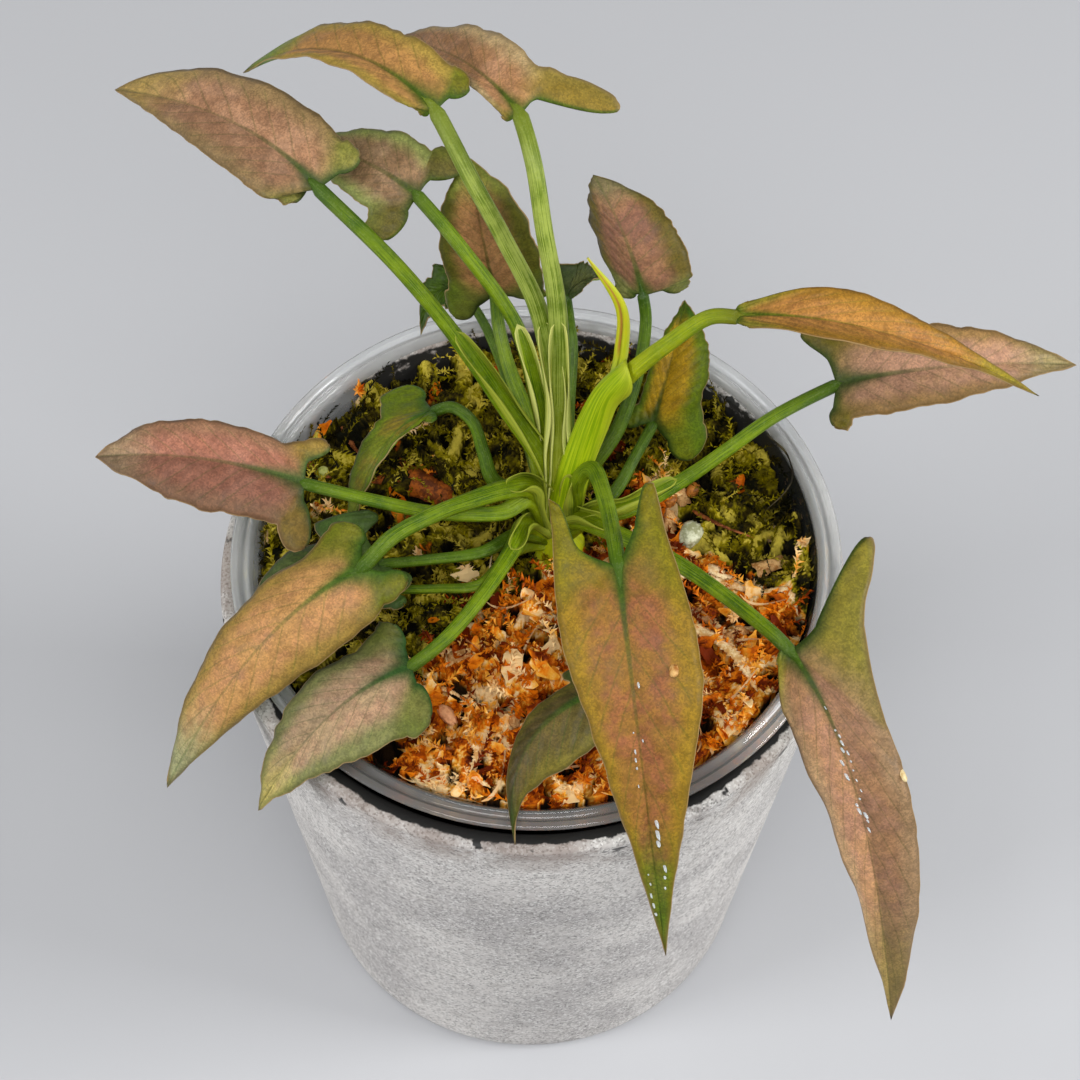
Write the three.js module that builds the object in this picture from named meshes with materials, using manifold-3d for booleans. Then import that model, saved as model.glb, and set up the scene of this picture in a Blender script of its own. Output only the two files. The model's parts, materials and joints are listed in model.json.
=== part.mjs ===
// An arrowhead plant (Syngonium) in a clear 9 cm nursery pot, which stands in a stone-grey cover pot.
// Millimetres, +Z up. The origin is the centre of the cover pot's foot, on the table, and the viewer's
// side is -Y. Heights in the leaf table are measured from the nursery pot's rim, RIM_Z above the table.
import * as THREE from "three";
import { mergeVertices } from "three/addons/utils/BufferGeometryUtils.js";
import Module from "manifold-3d";

const wasm = await Module();
wasm.setup();

// ---------------------------------------------------------------------------------------------
// Driving dimensions, mm
// ---------------------------------------------------------------------------------------------
const RIM_Z = 100; // top of the nursery pot's rim above the table
const SEAT = 0.3; // clearance between pieces that rest on each other

const COVER_H = 98.7; // cover pot: height to its lip
const COVER_R_TOP = 46; // outer radius at the lip
const COVER_R_FOOT = 36; // outer radius above the rounded foot
const COVER_FOOT_H = 6; // height of the rounded foot
const COVER_R_BASE = 33; // radius of the flat that it stands on
const COVER_LIP = 3.2; // wall at the lip
const COVER_FLOOR = 7; // thickness of the floor
const COVER_SIDES = 48;

const NURSERY_X = 0.5; // the nursery pot sits a little off the cover pot's axis
const NURSERY_Y = 2.2;
const NURSERY_R_RIM = 45; // a 9 cm pot
const NURSERY_R_TOP = 40.2; // outer radius of its wall under the rim
const NURSERY_R_BASE = 29;
const NURSERY_BASE_Z = 14;
const NURSERY_WALL = 0.8;
const NURSERY_SIDES = 48;

const MOSS_TOP = -6; // mean height of the moss from the rim
const MOSS_SWELL = 1.3; // how far its lumps rise and fall
const MOSS_FRONT = 3.7; // how much higher it stands at the front

const STEM = [3.5, 6.5]; // axis of the short stem
const STEM_R = 4.2;
const STEM_BOTTOM = -22;
const STEM_TOP = 1.5;

const BLADE = 0.7; // thickness of a leaf blade
const LOBE_ROUND_FROM = 0.45; // the share of a lobe's length at which its end starts to round off
const STALK_SIDES = 8;

// ---------------------------------------------------------------------------------------------
// The leaves. Every point is [x, y, height from the rim]. A stalk runs from the stem through its
// points to the base of the blade. The midrib is a curve through base, mid and tip. right and left
// are the margin's points where the blade is widest, seen from the base with the upper face up, and
// rightLobe and leftLobe are the two basal lobes: a point of the outer edge, the end, and a point of
// the edge that leads back to the base. widest is where along the midrib the margin points lie, waist
// is the width at the base, full and taper shape the margin towards the tip, and start is where along
// the midrib the margin turns into the lobe, all right then left.
// ---------------------------------------------------------------------------------------------
const LEAVES = [
  {
    name: "leaf_01_back_left", r: 1.25, sheath: 0.5, wave: 0.3,
    stalk: [[2, 11.5, 8], [-4.5, 17, 17], [-12, 22, 28], [-20, 26.5, 38]],
    base: [-30.5, 34, 45], mid: [-43.5, 45, 46], tip: [-62.5, 60.5, 34],
    right: [-33.5, 47, 48], rightLobe: [[-27, 41, 46.5], [-25, 38.5, 46], [-27.5, 36.5, 45.5]],
    left: [-41, 35, 44.5], leftLobe: [[-36, 33, 43.5], [-34, 33, 43], [-32.5, 35, 43.5]],
    full: [4.5, 2.2], taper: [0.1, 0.2], start: [0.1, 0.2],
  },
  {
    name: "leaf_02_back_high", r: 1.35, sheath: 0.42, wave: 0.25,
    stalk: [[3, 12, 9], [3, 16, 20], [0.5, 21, 34], [-4.5, 25.5, 45], [-9, 29.5, 53]],
    base: [-14, 37.5, 58], mid: [-28, 49.5, 56], tip: [-43, 59, 40],
    right: [-17.5, 49, 60], rightLobe: [[-11, 43.5, 59.5], [-9.5, 41, 58.5], [-12, 39.5, 58.5]],
    left: [-25, 43, 58.5], leftLobe: [[-17, 38, 58], [-16, 37.5, 57], [-15, 37.5, 57.5]],
    full: [9, 2], taper: [0.05, 0.2],
  },
  {
    name: "leaf_03_back_high_right", r: 1.35, sheath: 0.42, wave: 0.25,
    stalk: [[4, 12, 9], [3.5, 16, 20], [3, 20, 36], [1, 24, 49], [-0.5, 29, 57]],
    base: [-2.5, 35.5, 60], mid: [-11.5, 49.5, 55], tip: [-22.5, 67, 38],
    right: [-4, 48.5, 60], rightLobe: [[4.5, 42.5, 59.5], [11, 39.5, 56], [0.5, 38.5, 59.5]],
    left: [-8.5, 41, 58], leftLobe: [[-5, 36.5, 58.5], [-4.5, 36, 58], [-3.5, 35.5, 59]],
    waist: [1, 0.9], full: [2.2, 2], start: [0.1, 0.2],
  },
  {
    name: "leaf_04_back_middle", r: 1.15, sheath: 0.5, wave: 0.25,
    stalk: [[2.5, 13.5, 8], [0.5, 18.5, 16], [-3, 25, 26], [-10.5, 30.5, 36]],
    base: [-17, 37, 40], mid: [-25.5, 42.5, 41], tip: [-35, 52, 33],
    right: [-18.5, 45.5, 43], rightLobe: [[-14, 44, 42], [-10.5, 42, 40], [-15, 39.5, 40.5]],
    left: [-25, 36, 39], leftLobe: [[-24, 34, 37.5], [-21.5, 32, 36], [-18.5, 35, 38.5]],
    full: [1.6, 2], start: [0.1, 0.25],
  },
  {
    name: "leaf_05_back_upright", r: 1.1, wave: 0.2,
    stalk: [[1, 13.5, 5], [-1, 20.5, 8], [-4, 28, 11], [-5.5, 33, 14]],
    base: [-6, 36, 18], mid: [-8, 39, 29], tip: [-10, 45.5, 38],
    right: [0.5, 35.5, 28], rightLobe: [[1, 36, 19], [0.5, 36, 17], [-3, 36, 17.5]],
    left: [-14, 37, 26], leftLobe: [[-13, 36, 18.5], [-12, 36, 12], [-9, 36, 14.5]],
    full: [3.5, 2.8], start: [0.2, 0.1],
  },
  {
    name: "leaf_06_back_small", r: 0.9, small: true, wave: 0.1,
    stalk: [[4.5, 14.5, 5], [5, 24.5, 7], [5.5, 31, 11], [5, 34, 14]],
    base: [4.5, 35.5, 18], mid: [6.5, 37.5, 19], tip: [10, 39, 18],
    right: [7.5, 37, 19], rightLobe: [[6.5, 36, 18.5], [5.5, 35.5, 18], [5, 35.5, 18]],
    left: [6, 39.5, 21], leftLobe: [[3.5, 38.5, 22], [2.5, 37, 21.5], [3.5, 36, 19]],
    start: [0.2, 0.3],
  },
  {
    name: "leaf_07_back_right", r: 1.0, wave: 0.2,
    stalk: [[7, 11, 6], [12, 16.5, 11], [15, 23.5, 16], [16, 28.5, 21]],
    base: [15.5, 31, 25], mid: [12.5, 36.5, 32], tip: [8, 45, 35],
    right: [21.5, 35.5, 30], rightLobe: [[22, 33, 26], [21, 32.5, 24], [18.5, 32, 25]],
    left: [8, 41, 28], leftLobe: [[11.5, 35, 23], [13, 33, 22], [14.5, 32, 24]],
    waist: [1, 0.9], full: [3.6, 1.7], taper: [0.15, 0.1],
  },
  {
    name: "leaf_08_right_high", r: 1.5, sheath: 0.45, wave: 0.15,
    stalk: [[6, 10.5, 10], [9.5, 13, 23], [13.5, 12.5, 32], [19, 12.5, 40], [23.5, 13, 44.5]],
    base: [27.5, 13, 45], mid: [47, 9, 47], tip: [71, 12, 28],
    right: [43.5, 5.5, 49], rightLobe: [[29.5, 10, 46.5], [28.5, 11, 45.5], [27.5, 12, 45]],
    left: [42.5, 14, 50], leftLobe: [[29.5, 14.5, 46.5], [28, 14.5, 45.5], [27.5, 14, 45]],
    widest: [0.42, 0.36], waist: [0.3, 0.3], full: [1.6, 1.5], taper: [0.5, 0.35], start: [0.2, 0.2],
  },
  {
    name: "leaf_09_right_low", r: 1.15, sheath: 0.42, wave: 0.25,
    stalk: [[8.5, 5.5, 5], [14, 5, 8], [21.5, 7.5, 12], [27.5, 10, 16], [34.5, 13.5, 20]],
    base: [43.5, 18.5, 21], mid: [60, 19, 25], tip: [78.5, 23, 20],
    right: [52.5, 12.5, 23], rightLobe: [[45, 11.5, 20.5], [43, 12.5, 19], [43, 15, 19.5]],
    left: [51.5, 24.5, 27], leftLobe: [[42, 25, 23.5], [38.5, 26.5, 22], [42, 22.5, 22]],
    full: [1.9, 2.4], taper: [0.15, 0.1],
  },
  {
    name: "leaf_10_inner_right", r: 0.95, wave: 0.15,
    stalk: [[8.5, 8, 3], [12, 10, 5], [15, 15, 7]],
    base: [17.5, 20, 8], mid: [20, 27, 14], tip: [22, 36, 17],
    right: [25.5, 24.5, 14], rightLobe: [[25, 19.5, 8.5], [23.5, 16.5, 4], [20, 18, 6]],
    left: [16.5, 26, 12], leftLobe: [[14.5, 22, 8.5], [13.5, 20.5, 7], [15.5, 20, 7.5]],
    waist: [1, 0.9], full: [2, 2],
  },
  {
    name: "leaf_11_left", r: 1.1, wave: 0.3,
    stalk: [[-0.5, 7.5, 6], [-5, 4, 8], [-13.5, 2, 11], [-22, 2.5, 13]],
    base: [-33, 5, 14], mid: [-48, 7, 17], tip: [-64, 11.5, 10],
    right: [-46, 12.5, 18.5], rightLobe: [[-32.5, 11, 16], [-29.5, 10.5, 15], [-32.5, 8, 15]],
    left: [-46.5, -0.5, 15], leftLobe: [[-36, -3, 12.5], [-32.5, -4, 11], [-33, 2, 13]],
    widest: [0.42, 0.42], waist: [0.75, 0.95], full: [2.8, 1.7], taper: [0.1, 0.1],
  },
  {
    name: "leaf_12_front_left", r: 1.3, sheath: 0.3, wave: 0.3,
    stalk: [[0, 8.5, 7], [-4, 5.5, 12], [-9, 1, 16], [-13.5, -3, 19], [-19.5, -7.5, 20]],
    base: [-24, -11.5, 18], mid: [-38.5, -21, 11], tip: [-52.5, -31, -12],
    right: [-38.5, -12, 13], rightLobe: [[-28.5, -4.5, 17], [-25, -4.5, 18], [-24, -7.5, 18]],
    left: [-26, -21, 13], leftLobe: [[-20.5, -16, 16], [-17.5, -13, 17], [-20.5, -12, 17.5]],
    full: [3, 1.7], start: [0.1, 0.15],
  },
  {
    name: "leaf_13_low_left", r: 1.15, sheath: 0.35, wave: 0.25,
    stalk: [[-1, 5, 3], [-3, -1, 6], [-7.5, -11, 9], [-12, -18, 10]],
    base: [-17, -21.5, 8], mid: [-28.5, -29, 6], tip: [-38.5, -37.5, -6],
    right: [-30, -22, 7], rightLobe: [[-22, -16, 8.5], [-19.5, -15.5, 9], [-18, -18.5, 8.5]],
    left: [-20.5, -34, 7], leftLobe: [[-17, -32, 7], [-14, -29, 7], [-16, -24.5, 7.5]],
    full: [2.3, 1.6], start: [0.1, 0.25],
  },
  {
    name: "leaf_14_inner_left", r: 1.0, wave: 0.15,
    stalk: [[-2, 9.5, 3], [-6, 11, 6], [-7.5, 14, 9], [-9, 17, 12], [-12, 19, 13]],
    base: [-15, 19, 12], mid: [-22.5, 11, 12.5], tip: [-27, 3, 0],
    right: [-24, 15.5, 12], rightLobe: [[-22.5, 21, 11], [-19, 25, 9.5], [-16.5, 22, 10.5]],
    left: [-20.5, 11, 14.5], leftLobe: [[-16.5, 16.5, 13], [-15, 16, 13.5], [-14.5, 17.5, 13]],
    widest: [0.4, 0.4], full: [2.6, 1.5], start: [0.3, 0.3],
  },
  {
    name: "leaf_15_under_left", r: 0.9, small: true, wave: 0.15,
    stalk: [[-2, 3.5, 3], [-7.5, -1.5, 6], [-15.5, -3.5, 7]],
    base: [-22, -3.5, 6], mid: [-30.5, -5.5, 7], tip: [-40.5, -6.5, 1],
    right: [-34, -0.5, 5], rightLobe: [[-31.5, 3, 5.5], [-24, 4.5, 7], [-24.5, 1.5, 6.5]],
    left: [-27, -10, 5], leftLobe: [[-20, -8, 5], [-17.5, -6.5, 6], [-19.5, -5, 6]],
    widest: [0.5, 0.3], start: [0.3, 0.1],
  },
  {
    name: "leaf_16_hidden_left", r: 0.8, small: true, wave: 0.1,
    stalk: [[-2.5, 2, 1], [-7.5, -5, 3], [-13.5, -6.5, 4]],
    base: [-20, -6, 3], mid: [-24, -8.5, 3], tip: [-29, -11, 1],
    right: [-25.5, -6, 3], rightLobe: [[-21, -4.5, 3], [-19, -4.5, 3], [-19.5, -5, 3]],
    left: [-23.5, -10.5, 3], leftLobe: [[-20, -9, 2.5], [-18.5, -8, 2], [-19, -7, 2.5]],
  },
  {
    name: "leaf_17_front", r: 1.25, sheath: 0.28, wave: 0.25,
    stalk: [[5.5, 8, 3], [6.5, 7.5, 12], [8.5, 4.5, 19], [10, -4.5, 25], [11, -13, 29]],
    base: [11.5, -18, 30], mid: [14.5, -39, 20], tip: [19, -59, -6],
    right: [3.5, -26.5, 27], rightLobe: [[2.5, -12.5, 32], [3, -10, 33], [6, -16, 31]],
    left: [23, -32.5, 25], leftLobe: [[17, -10.5, 32], [15.5, -6.5, 33], [14, -12, 31.5]],
    widest: [0.18, 0.3], waist: [0.97, 0.9], full: [1.5, 1.8], taper: [0.35, 0.45],
  },
  {
    name: "leaf_18_front_right", r: 1.2, sheath: 0.3, wave: 0.45,
    stalk: [[6, 6, 3], [11, 0.5, 9], [20, -7.5, 14], [26.5, -14.5, 17], [32.5, -21, 18.5]],
    base: [35.5, -24, 18], mid: [45, -41.5, 8], tip: [52.5, -59, -28],
    right: [36.5, -34, 10], rightLobe: [[34, -26, 16], [34, -24.5, 17.5], [34.5, -24, 18]],
    left: [50, -36, 13], leftLobe: [[45.5, -19, 19], [46.5, -8, 22], [39.5, -20, 19]],
    waist: [0.5, 0.9], full: [1.8, 3], start: [0.2, 0.22],
  },
  {
    name: "leaf_19_front_small", r: 0.85, small: true, wave: 0.15,
    stalk: [[4.5, 4, 1], [7, -5, 6], [8.5, -16.5, 10]],
    base: [9.5, -26, 10], mid: [-0.5, -35, 9.5], tip: [-2, -45.5, 0.5],
    right: [1, -28.5, 10], rightLobe: [[4.5, -24, 9.5], [7.5, -22, 9.5], [9, -24.5, 10]],
    left: [5.5, -36.5, 7], leftLobe: [[10, -32.5, 7], [11, -28.5, 9], [10.5, -27, 9.5]],
    full: [2.4, 1.3], taper: [0.1, 0.4],
  },
  {
    name: "leaf_20_back_low", r: 0.8, small: true, wave: 0.1,
    stalk: [[-0.5, 18.5, 3], [-3, 26, 5], [-6.5, 34.5, 8], [-9.5, 39.5, 10]],
    base: [-12.5, 41, 12], mid: [-15.5, 41, 10], tip: [-17.5, 39, 3],
    right: [-16.5, 43, 12], rightLobe: [[-15.5, 44, 13.5], [-14, 44, 14], [-12.5, 42.5, 13.5]],
    left: [-14, 38, 12], leftLobe: [[-13.5, 37.5, 12.5], [-12, 37.5, 12.5], [-12, 39.5, 12.5]],
    start: [0.2, 0.25],
  },
];

// The rolled new leaf, beside the stalk of the high right leaf
const NEW_LEAF = [[11.2, 15.3, 25.5], [12.2, 17, 31], [11.8, 19.2, 38.5], [7, 21, 47]];

// ---------------------------------------------------------------------------------------------
// Helpers
// ---------------------------------------------------------------------------------------------
const vec = (p) => new THREE.Vector3(p[0], p[1], p[2] + RIM_Z);
const mix = (a, b, t) => a.clone().lerp(b, t);
const plus = (a, b, k = 1) => a.clone().addScaledVector(b, k);
const across = (v, axis) => v.clone().addScaledVector(axis, -v.dot(axis)).normalize();
const spline = (points) => new THREE.CatmullRomCurve3(points, false, "catmullrom", 0.5);

// a closed triangle list as a manifold-3d solid, and back as a three.js mesh
function solid(points, faces) {
  return new wasm.Manifold(
    new wasm.Mesh({
      numProp: 3,
      vertProperties: new Float32Array(points.flatMap((p) => [p.x, p.y, p.z])),
      triVerts: new Uint32Array(faces.flat()),
    }),
  );
}

function solidFromGeometry(geometry) {
  const g = geometry.clone();
  g.deleteAttribute("normal");
  g.deleteAttribute("uv");
  const m = mergeVertices(g, 1e-4);
  return new wasm.Manifold(
    new wasm.Mesh({
      numProp: 3,
      vertProperties: new Float32Array(m.attributes.position.array),
      triVerts: new Uint32Array(m.index.array),
    }),
  );
}

function geometryOf(manifold) {
  const m = manifold.getMesh();
  const g = new THREE.BufferGeometry();
  g.setAttribute("position", new THREE.BufferAttribute(new Float32Array(m.vertProperties), 3));
  g.setIndex(new THREE.BufferAttribute(new Uint32Array(m.triVerts), 1));
  g.computeVertexNormals();
  return g;
}

const plant = new THREE.Group();
plant.name = "potted_arrowhead_plant";
function add(name, manifold, color, roughness = 0.6) {
  const material = new THREE.MeshStandardMaterial({ color, roughness, metalness: 0 });
  const mesh = new THREE.Mesh(geometryOf(manifold), material);
  mesh.name = name;
  plant.add(mesh);
}

// a body turned about +Z: profile is [radius, z] going up the outside and down the inside
function turned(profile, sides, cx = 0, cy = 0) {
  const points = profile.map(([r, z]) => new THREE.Vector2(r, z));
  const g = new THREE.LatheGeometry(points, sides);
  g.rotateX(Math.PI / 2); // the lathe's axis is Y: stand it up
  g.translate(cx, cy, 0);
  return solidFromGeometry(g);
}

// a tube of elliptic sections: rings is a list of { at, side, up, a, b }, closed at both ends
function tube(rings, sides) {
  const points = [];
  const faces = [];
  for (const { at, side, up, a, b } of rings) {
    for (let s = 0; s < sides; s++) {
      const w = (2 * Math.PI * s) / sides;
      points.push(plus(plus(at, side, a * Math.cos(w)), up, b * Math.sin(w)));
    }
  }
  const last = (rings.length - 1) * sides;
  for (let i = 0; i < rings.length - 1; i++) {
    for (let s = 0; s < sides; s++) {
      const p = i * sides + s;
      const q = i * sides + ((s + 1) % sides);
      faces.push([p, q, q + sides], [p, q + sides, p + sides]);
    }
  }
  for (let s = 1; s < sides - 1; s++) {
    faces.push([0, s + 1, s], [last, last + s, last + s + 1]);
  }
  return solid(points, faces);
}

// the frame along a stalk: side is level, up is the face of the stalk turned to the sky
function frameAt(curve, t) {
  const tangent = curve.getTangent(t);
  const at = curve.getPoint(t);
  const inward = new THREE.Vector3(STEM[0] - at.x, STEM[1] - at.y, 0);
  const ref = new THREE.Vector3(0, 0, 1).addScaledVector(inward.normalize(), 0.6);
  const up = across(ref, tangent);
  return { at, tangent, up, side: new THREE.Vector3().crossVectors(up, tangent) };
}

// ---------------------------------------------------------------------------------------------
// Pots
// ---------------------------------------------------------------------------------------------
function coverPot() {
  const out = [[0, 0], [COVER_R_BASE, 0]];
  for (const k of [0.35, 0.7, 1]) {
    const a = (k * Math.PI) / 2;
    out.push([
      COVER_R_BASE + (COVER_R_FOOT - COVER_R_BASE) * Math.sin(a),
      COVER_FOOT_H * (1 - Math.cos(a)),
    ]);
  }
  out.push([COVER_R_TOP - 0.1, COVER_H - 1.2], [COVER_R_TOP - 0.9, COVER_H]);
  const inTop = COVER_R_TOP - COVER_LIP;
  out.push([inTop + 0.5, COVER_H], [inTop, COVER_H - 0.6]);
  out.push([COVER_R_FOOT - 4.5, COVER_FLOOR + 5], [COVER_R_FOOT - 8, COVER_FLOOR], [0, COVER_FLOOR]);
  return turned(out, COVER_SIDES);
}

const nurseryWallR = (z) =>
  NURSERY_R_BASE + ((NURSERY_R_TOP - NURSERY_R_BASE) * (z - NURSERY_BASE_Z)) / (RIM_Z - NURSERY_BASE_Z);

function nurseryPot() {
  const under = COVER_H + SEAT;
  const floor = NURSERY_BASE_Z + NURSERY_WALL;
  const profile = [
    [0, NURSERY_BASE_Z],
    [NURSERY_R_BASE, NURSERY_BASE_Z],
    [nurseryWallR(under), under], // up the outside of the wall
    [NURSERY_R_RIM - 0.3, under], // under the rim
    [NURSERY_R_RIM, under + 0.35],
    [NURSERY_R_RIM - 0.5, RIM_Z], // outer bead
    [NURSERY_R_RIM - 1.6, RIM_Z - 0.1],
    [NURSERY_R_RIM - 2.2, RIM_Z - 0.55], // groove between the two beads
    [NURSERY_R_RIM - 3.2, RIM_Z - 0.5],
    [NURSERY_R_RIM - 4.2, RIM_Z], // inner bead
    [NURSERY_R_TOP - NURSERY_WALL, RIM_Z - 0.4],
    [nurseryWallR(floor) - NURSERY_WALL, floor],
    [0, floor],
  ];
  return turned(profile, NURSERY_SIDES, NURSERY_X, NURSERY_Y);
}

// ---------------------------------------------------------------------------------------------
// Moss: it fills the nursery pot, with a lumpy top and a plain hole for the stem
// ---------------------------------------------------------------------------------------------
function mossHeight(x, y) {
  const lumps =
    Math.sin(0.33 * x + 0.9) * Math.cos(0.29 * y - 0.4) +
    0.6 * Math.sin(0.61 * x - 0.37 * y + 2.0) +
    0.4 * Math.sin(0.97 * y + 0.5 * x);
  const front = Math.min(1, Math.max(0, (-y - 2) / 26));
  return RIM_Z + MOSS_TOP + 0.7 * MOSS_SWELL * lumps + MOSS_FRONT * front;
}

function mossBed() {
  const sides = 40;
  const floor = NURSERY_BASE_Z + NURSERY_WALL + SEAT;
  const points = [];
  const faces = [];
  const rings = [0.1, 0.28, 0.46, 0.63, 0.78, 0.9, 1];
  const ringR = (z) => nurseryWallR(z) - NURSERY_WALL - SEAT;
  for (const k of rings) {
    for (let s = 0; s < sides; s++) {
      const a = (2 * Math.PI * s) / sides;
      const r0 = ringR(RIM_Z - 5) * k;
      const z = mossHeight(NURSERY_X + r0 * Math.cos(a), NURSERY_Y + r0 * Math.sin(a)) - (k === 1 ? 0.8 : 0);
      const r = ringR(z - 0.5) * k;
      points.push(new THREE.Vector3(NURSERY_X + r * Math.cos(a), NURSERY_Y + r * Math.sin(a), z));
    }
  }
  for (let s = 0; s < sides; s++) {
    const a = (2 * Math.PI * s) / sides;
    const r = ringR(floor);
    points.push(new THREE.Vector3(NURSERY_X + r * Math.cos(a), NURSERY_Y + r * Math.sin(a), floor));
  }
  points.push(new THREE.Vector3(NURSERY_X, NURSERY_Y, mossHeight(NURSERY_X, NURSERY_Y)));
  points.push(new THREE.Vector3(NURSERY_X, NURSERY_Y, floor));
  const top = points.length - 2;
  const bottom = points.length - 1;
  for (let s = 0; s < sides; s++) {
    const n = (s + 1) % sides;
    for (let k = 0; k < rings.length; k++) {
      const p = k * sides;
      faces.push([p + s, p + sides + s, p + sides + n], [p + s, p + sides + n, p + n]);
    }
    faces.push([top, s, n], [bottom, rings.length * sides + n, rings.length * sides + s]);
  }
  const r = STEM_R + SEAT;
  const z0 = RIM_Z + STEM_BOTTOM - SEAT;
  const hole = turned([[0, z0], [r - 1, z0], [r, z0 + 2], [r, RIM_Z + 20], [0, RIM_Z + 20]], 16, ...STEM);
  return solid(points, faces).subtract(hole);
}

// ---------------------------------------------------------------------------------------------
// Stem, stalks and sheaths, grown together
// ---------------------------------------------------------------------------------------------
function stalkCurve(leaf, stop = 1) {
  const base = vec(leaf.base);
  const from = vec(leaf.stalk[leaf.stalk.length - 1]);
  const end = plus(base, base.clone().sub(from).normalize(), -stop);
  const root = new THREE.Vector3(STEM[0], STEM[1], RIM_Z - 4);
  return spline([root, ...leaf.stalk.map(vec), end]);
}

function stalk(leaf, stop) {
  const curve = stalkCurve(leaf, stop);
  const steps = leaf.small ? 8 : 11;
  const rings = [];
  for (let i = 0; i <= steps; i++) {
    const t = i / steps;
    const { at, side, up } = frameAt(curve, t);
    const swell = 1 + 0.55 * Math.max(0, 1 - t / 0.45); // broad where it clasps the stem
    const end = i === steps ? 0.45 : 1;
    rings.push({ at, side, up, a: leaf.r * swell * end, b: leaf.r * 0.9 * end });
  }
  return tube(rings, STALK_SIDES);
}

// a stalk that reaches up to its blade and stands SEAT clear of it
function seatedStalk(leaf, itsBlade) {
  let stop = 0.4;
  let made = stalk(leaf, stop);
  while (stop < 4 && made.minGap(itsBlade, 1) < SEAT) {
    stop += 0.1;
    made = stalk(leaf, stop);
  }
  return made;
}

// the membrane that runs up the inner face of a stalk and ends in a free point
function sheath(leaf) {
  const curve = stalkCurve(leaf);
  const rings = [];
  const steps = 6;
  for (let i = 0; i <= steps; i++) {
    const k = i / steps;
    const { at, side, up } = frameAt(curve, 0.06 + (leaf.sheath - 0.06) * k);
    const lift = leaf.r * 0.55 + 1.3 * k ** 3;
    const a = Math.max(0.25, leaf.r * 1.5 * (1 - k ** 2.5));
    rings.push({ at: plus(at, up, lift), side, up, a, b: 0.95 - 0.6 * k });
  }
  return tube(rings, 6);
}

function stemAndStalks(blades) {
  const z0 = RIM_Z + STEM_BOTTOM;
  const z1 = RIM_Z + STEM_TOP;
  const profile = [[0, z0], [2.6, z0], [STEM_R, z0 + 3], [STEM_R, z1 - 4], [STEM_R * 0.8, z1 - 1], [0, z1]];
  let body = turned(profile, 14, ...STEM);
  LEAVES.forEach((leaf, i) => {
    body = body.add(seatedStalk(leaf, blades[i]));
    if (leaf.sheath) body = body.add(sheath(leaf));
  });
  return body;
}

function newLeaf() {
  const curve = spline(NEW_LEAF.map(vec));
  const rings = [];
  for (let i = 0; i <= 8; i++) {
    const t = i / 8;
    const { at, side, up } = frameAt(curve, t);
    const r = 1.05 * Math.min(1, 0.75 + t) * (1 - t ** 4 * 0.8);
    rings.push({ at, side, up, a: r, b: r * 0.8 });
  }
  return tube(rings, 7);
}

// ---------------------------------------------------------------------------------------------
// Leaf blades
// ---------------------------------------------------------------------------------------------
const both = (v, d) => v ?? [d, d];

function bladeShape(leaf) {
  const base = vec(leaf.base);
  const tip = vec(leaf.tip);
  const middle = vec(leaf.mid);
  const control = middle.clone().multiplyScalar(2).addScaledVector(base, -0.5).addScaledVector(tip, -0.5);
  return {
    base,
    tip,
    midrib: new THREE.QuadraticBezierCurve3(base, control, tip),
    edge: [vec(leaf.right), vec(leaf.left)],
    lobe: [leaf.rightLobe.map(vec), leaf.leftLobe.map(vec)],
    widest: both(leaf.widest, 0.3),
    waist: both(leaf.waist, 0.9),
    full: both(leaf.full, 2.2),
    taper: both(leaf.taper, 0.2),
    start: both(leaf.start, 0.1),
  };
}

// the share of its greatest width that half k of a blade has at t along the midrib
function widthAt(shape, k, t) {
  const w = shape.widest[k];
  if (t <= w) return 1 - (1 - shape.waist[k]) * ((w - t) / w) ** 2;
  const u = (t - w) / (1 - w);
  return (1 - u ** shape.full[k]) * (1 - shape.taper[k] * u);
}

// how much wider than a pointed lobe a rounded one is, at this share of its length
function fillOut(share) {
  const u = (share - LOBE_ROUND_FROM) / (1 - LOBE_ROUND_FROM);
  return u <= 0 || u >= 1 ? 1 : Math.sqrt(1 - u * u) / (1 - u);
}

// half k of a blade as two matched rows of points: along the midrib and the notch, and along the margin
function bladeHalf(shape, k, along, round) {
  const reach = shape.edge[k].clone().sub(shape.midrib.getPoint(shape.widest[k]));
  const margin = (t) => plus(shape.midrib.getPoint(t), reach, widthAt(shape, k, t));
  const start = shape.start[k];
  const inner = [];
  const outer = [];
  for (let i = 0; i <= along; i++) {
    const a = 1 - i / along;
    inner.push(shape.midrib.getPoint(a));
    outer.push(margin(start + (1 - start) * a));
  }
  const [ear, end, notch] = shape.lobe[k];
  const rim = spline([margin(start + 0.12), margin(start), ear, end]);
  const sinus = spline([shape.base, notch, end]);
  for (let i = 1; i <= round; i++) {
    const share = Math.sin((Math.PI * i) / (2 * round)); // closer steps towards the lobe's end
    const a = sinus.getPoint(share);
    const b = rim.getPoint((1 + 2 * share) / 3);
    const centre = mix(a, b, 0.5);
    inner.push(mix(centre, a, fillOut(share)));
    outer.push(mix(centre, b, fillOut(share)));
  }
  return { inner, outer, reach };
}

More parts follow.
